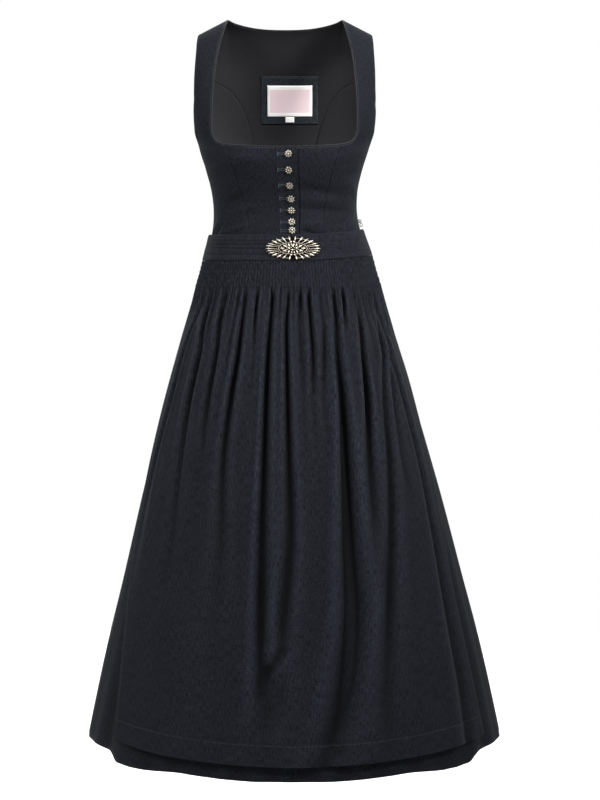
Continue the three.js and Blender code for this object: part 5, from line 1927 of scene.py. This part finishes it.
@dataclass
class SideZip:
    """The zip in the left side seam: its tape and teeth, the slider, and the pull with its ring."""

    wardrobe: Wardrobe
    top: float = ARMPIT_DEPTH + 8
    bottom: float = 368.0
    slider_depth: float = 344.0
    axis_out: float = 3.9

    def frame(self) -> Matrix:
        """Finds the slider's place on the side seam.

        Returns:
            The frame in millimetres, with X out of the side and Z up along the seam.
        """
        low, high = FORM.at(90, self.slider_depth + 12), FORM.at(90, self.slider_depth - 8)
        lean = -math.atan2(low[0] - high[0], high[2] - low[2])
        place = Matrix.Translation(Vector(FORM.at(90, self.slider_depth)) * MM)
        return place @ Matrix.Rotation(lean, 4, "Y") @ Matrix.Scale(MM, 4)

    def build(self) -> None:
        """Makes the tape, the teeth, the slider and the pull."""
        rows = []
        for depth in np.linspace(self.top, self.bottom, 9):
            half = degrees_for(7.0, depth)
            rows.append([(90 - half, depth), (90, depth), (90 + half, depth)])
        CutPiece("zip_tape_cloth", np.array(rows), -CLOTH - GAP - 0.45, 60, 6, 0.8,
                 held="stretched").build(self.wardrobe.lining, "lining", "zip_tape")
        teeth = bmesh.new()
        for depth in np.arange(self.top + 2, self.bottom, 1.6):
            for side in (-0.9, 0.9):
                lower = 0.8 if side > 0 else 0
                place = FORM.at(90 + degrees_for(side, depth), depth + lower, -CLOTH - 1.0)
                add_block(teeth, Vector(place) * MM, (0.9 * MM, 1.7 * MM, 0.7 * MM))
        add_piece(teeth, "zip_teeth", self.wardrobe.oxide)
        self.build_slider()
        self.build_pull()

    def build_slider(self) -> None:
        """Makes the slider's plate and the bridge that holds the pull's bar."""
        mesh = bmesh.new()
        add_block(mesh, (1.5, 0, 0), (1.8, 5.6, 6.8))
        for vert in mesh.verts:
            if vert.co.z < 0:
                vert.co.y *= 0.78
        add_block(mesh, (5.3, 0, 0), (0.9, 1.4, 4.2))
        for z in (-2.4, 2.4):
            add_block(mesh, (3.6, 0, z), (3.6, 1.4, 0.95))
        bmesh.ops.bevel(mesh, geom=mesh.edges[:], offset=0.28, segments=2, profile=0.5, affect="EDGES",
                        material=-1)
        bmesh.ops.transform(mesh, matrix=self.frame(), verts=mesh.verts)
        mark_painted_light(mesh, crests_only=False)
        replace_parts(add_piece(mesh, "slider", self.wardrobe.nickel), "zip_slider")

    def build_pull(self) -> None:
        """Makes the pull: a wire loop on the bridge that ends in a ring."""
        loop = np.array([
            (0, -1.9, 0), (0, 0, 0), (0, 1.9, 0), (0, 2.0, -2.2), (0, 1.8, -4.4), (0, 0, -4.5),
            (0, -1.8, -4.4), (0, -2.0, -2.2), (0, -1.9, 0),
        ], dtype=float)
        mesh = tube(smooth_path(loop, 60), 0.55, 8)
        bmesh.ops.transform(mesh, matrix=Matrix.Scale(1 / MM, 4), verts=mesh.verts)
        ring = bmesh.new()
        add_ring(ring, (3.0, 3.0), 0.65, 0)
        hanging = Matrix.Translation((0, 0, -7.4)) @ Matrix.Rotation(math.radians(40), 4, "Z")
        upright = Matrix.Rotation(math.pi / 2, 4, "X")
        bmesh.ops.transform(ring, matrix=hanging @ upright, verts=ring.verts)
        held = bpy.data.meshes.new("ring")
        ring.to_mesh(held)
        ring.free()
        mesh.from_mesh(held)
        bpy.data.meshes.remove(held)
        hinge = self.frame() @ Matrix.Translation((self.axis_out, 0, 0))
        bmesh.ops.transform(mesh, matrix=hinge, verts=mesh.verts)
        mark_painted_light(mesh, crests_only=False)
        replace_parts(add_piece(mesh, "pull_and_ring", self.wardrobe.nickel, PULL_BODY), "zip_pull")


@dataclass
class Studio:
    """The camera at the photo's angle, a pale floor and soft light."""

    lens: float = 90.0
    distance: float = 3600.0
    aside: float = 25.0
    height: float = -401.4
    horizon_px: float = 146.5
    focal_px: float = 2000.0
    floor_z: float = -1560.0
    floor_radius: float = 2.6
    ambient: float = 0.26

    def build_camera(self) -> None:
        """Makes the camera, which looks a little down on the belt."""
        data = bpy.data.cameras.new("camera")
        data.lens, data.sensor_width, data.sensor_fit = self.lens, 36.0, "AUTO"
        data.clip_end = 100
        camera = bpy.data.objects.new("camera", data)
        camera.location = Vector((self.aside, -self.distance, self.height)) * MM
        camera.rotation_euler = (math.pi / 2 - math.atan(self.horizon_px / self.focal_px), 0, 0)
        bpy.context.scene.collection.objects.link(camera)
        bpy.context.scene.camera = camera

    def add_light(self, name: str, place: tuple[float, float, float], aim: tuple[float, float, float],
                  size: float, power: float, spread: float = 180.0) -> None:
        """Adds a large soft light.

        Args:
            name: its name.
            place: where it stands, in metres.
            aim: what it faces, in metres.
            size: its side, in metres.
            power: its power in watts.
            spread: how wide its cone is, in degrees.
        """
        data = bpy.data.lights.new(name, "AREA")
        data.size, data.energy, data.spread = size, power, math.radians(spread)
        light = bpy.data.objects.new(name, data)
        light.location = place
        light.rotation_euler = (Vector(aim) - Vector(place)).to_track_quat("-Z", "Y").to_euler()
        bpy.context.scene.collection.objects.link(light)

    def build_room(self) -> None:
        """Makes the floor, the pale surround and the lights."""
        mesh = bmesh.new()
        bmesh.ops.create_circle(mesh, cap_ends=True, segments=96, radius=self.floor_radius,
                                matrix=Matrix.Translation((0, 0, self.floor_z * MM)))
        data = bpy.data.meshes.new("floor")
        mesh.to_mesh(data)
        mesh.free()
        # Matt background paper: a plain pale floor with no shine.
        finish = new_material("white_paper_floor")
        shader = add_node(finish, "ShaderNodeBsdfPrincipled",
                          {"Base Color": linear("#fdfdfd"), "Roughness": 0.9})
        add_node(finish, "ShaderNodeOutputMaterial", None, {0: shader.outputs[0]})
        data.materials.append(finish)
        floor = bpy.data.objects.new("floor", data)
        bpy.context.scene.collection.objects.link(floor)
        world = bpy.data.worlds.new("studio")
        world.use_nodes = True
        tree = world.node_tree
        soft = tree.nodes["Background"]
        soft.inputs[0].default_value, soft.inputs[1].default_value = (1, 1, 1, 1), self.ambient
        paper = tree.nodes.new("ShaderNodeBackground")
        paper.inputs[0].default_value, paper.inputs[1].default_value = (1, 1, 1, 1), 1.0
        seen, blend = tree.nodes.new("ShaderNodeLightPath"), tree.nodes.new("ShaderNodeMixShader")
        tree.links.new(seen.outputs["Is Camera Ray"], blend.inputs[0])
        tree.links.new(soft.outputs[0], blend.inputs[1])
        tree.links.new(paper.outputs[0], blend.inputs[2])
        tree.links.new(blend.outputs[0], tree.nodes["World Output"].inputs[0])
        bpy.context.scene.world = world
        bpy.context.scene.view_settings.view_transform = "Standard"
        self.add_light("key_right", (-2.1, -1.9, 1.15), (0, 0, -0.15), 1.2, 34, 100)
        self.add_light("key_left", (2.1, -1.7, 1.25), (0, 0, 0.2), 1.1, 34, 66)
        self.add_light("front", (0.2, -3.0, 1.6), (0, 0, -0.1), 1.6, 7, 90)
        self.add_light("back_right", (-2.2, 2.4, 1.2), (0, 0, -0.5), 1.8, 62)
        self.add_light("back_left", (2.2, 2.2, 0.8), (0, 0, -0.6), 1.8, 44)
        self.add_light("overhead", (0, 0.4, 2.3), (0, 0.4, -1), 3.4, 110)


def main() -> None:
    """Builds the camera, the dress and the room, in that order."""
    logging.basicConfig(level=logging.INFO, format="%(name)s: %(message)s")
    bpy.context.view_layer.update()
    studio = Studio()
    studio.build_camera()
    wardrobe = Wardrobe()
    belt = Belt(wardrobe)
    for part in (Bodice(wardrobe), BackLining(wardrobe), Skirt(wardrobe), Apron(wardrobe), belt,
                 Metalwork(wardrobe, belt), SideZip(wardrobe)):
        part.build()
        log.info("%s done", type(part).__name__)
    studio.build_room()


if __name__ == "__main__":
    main()
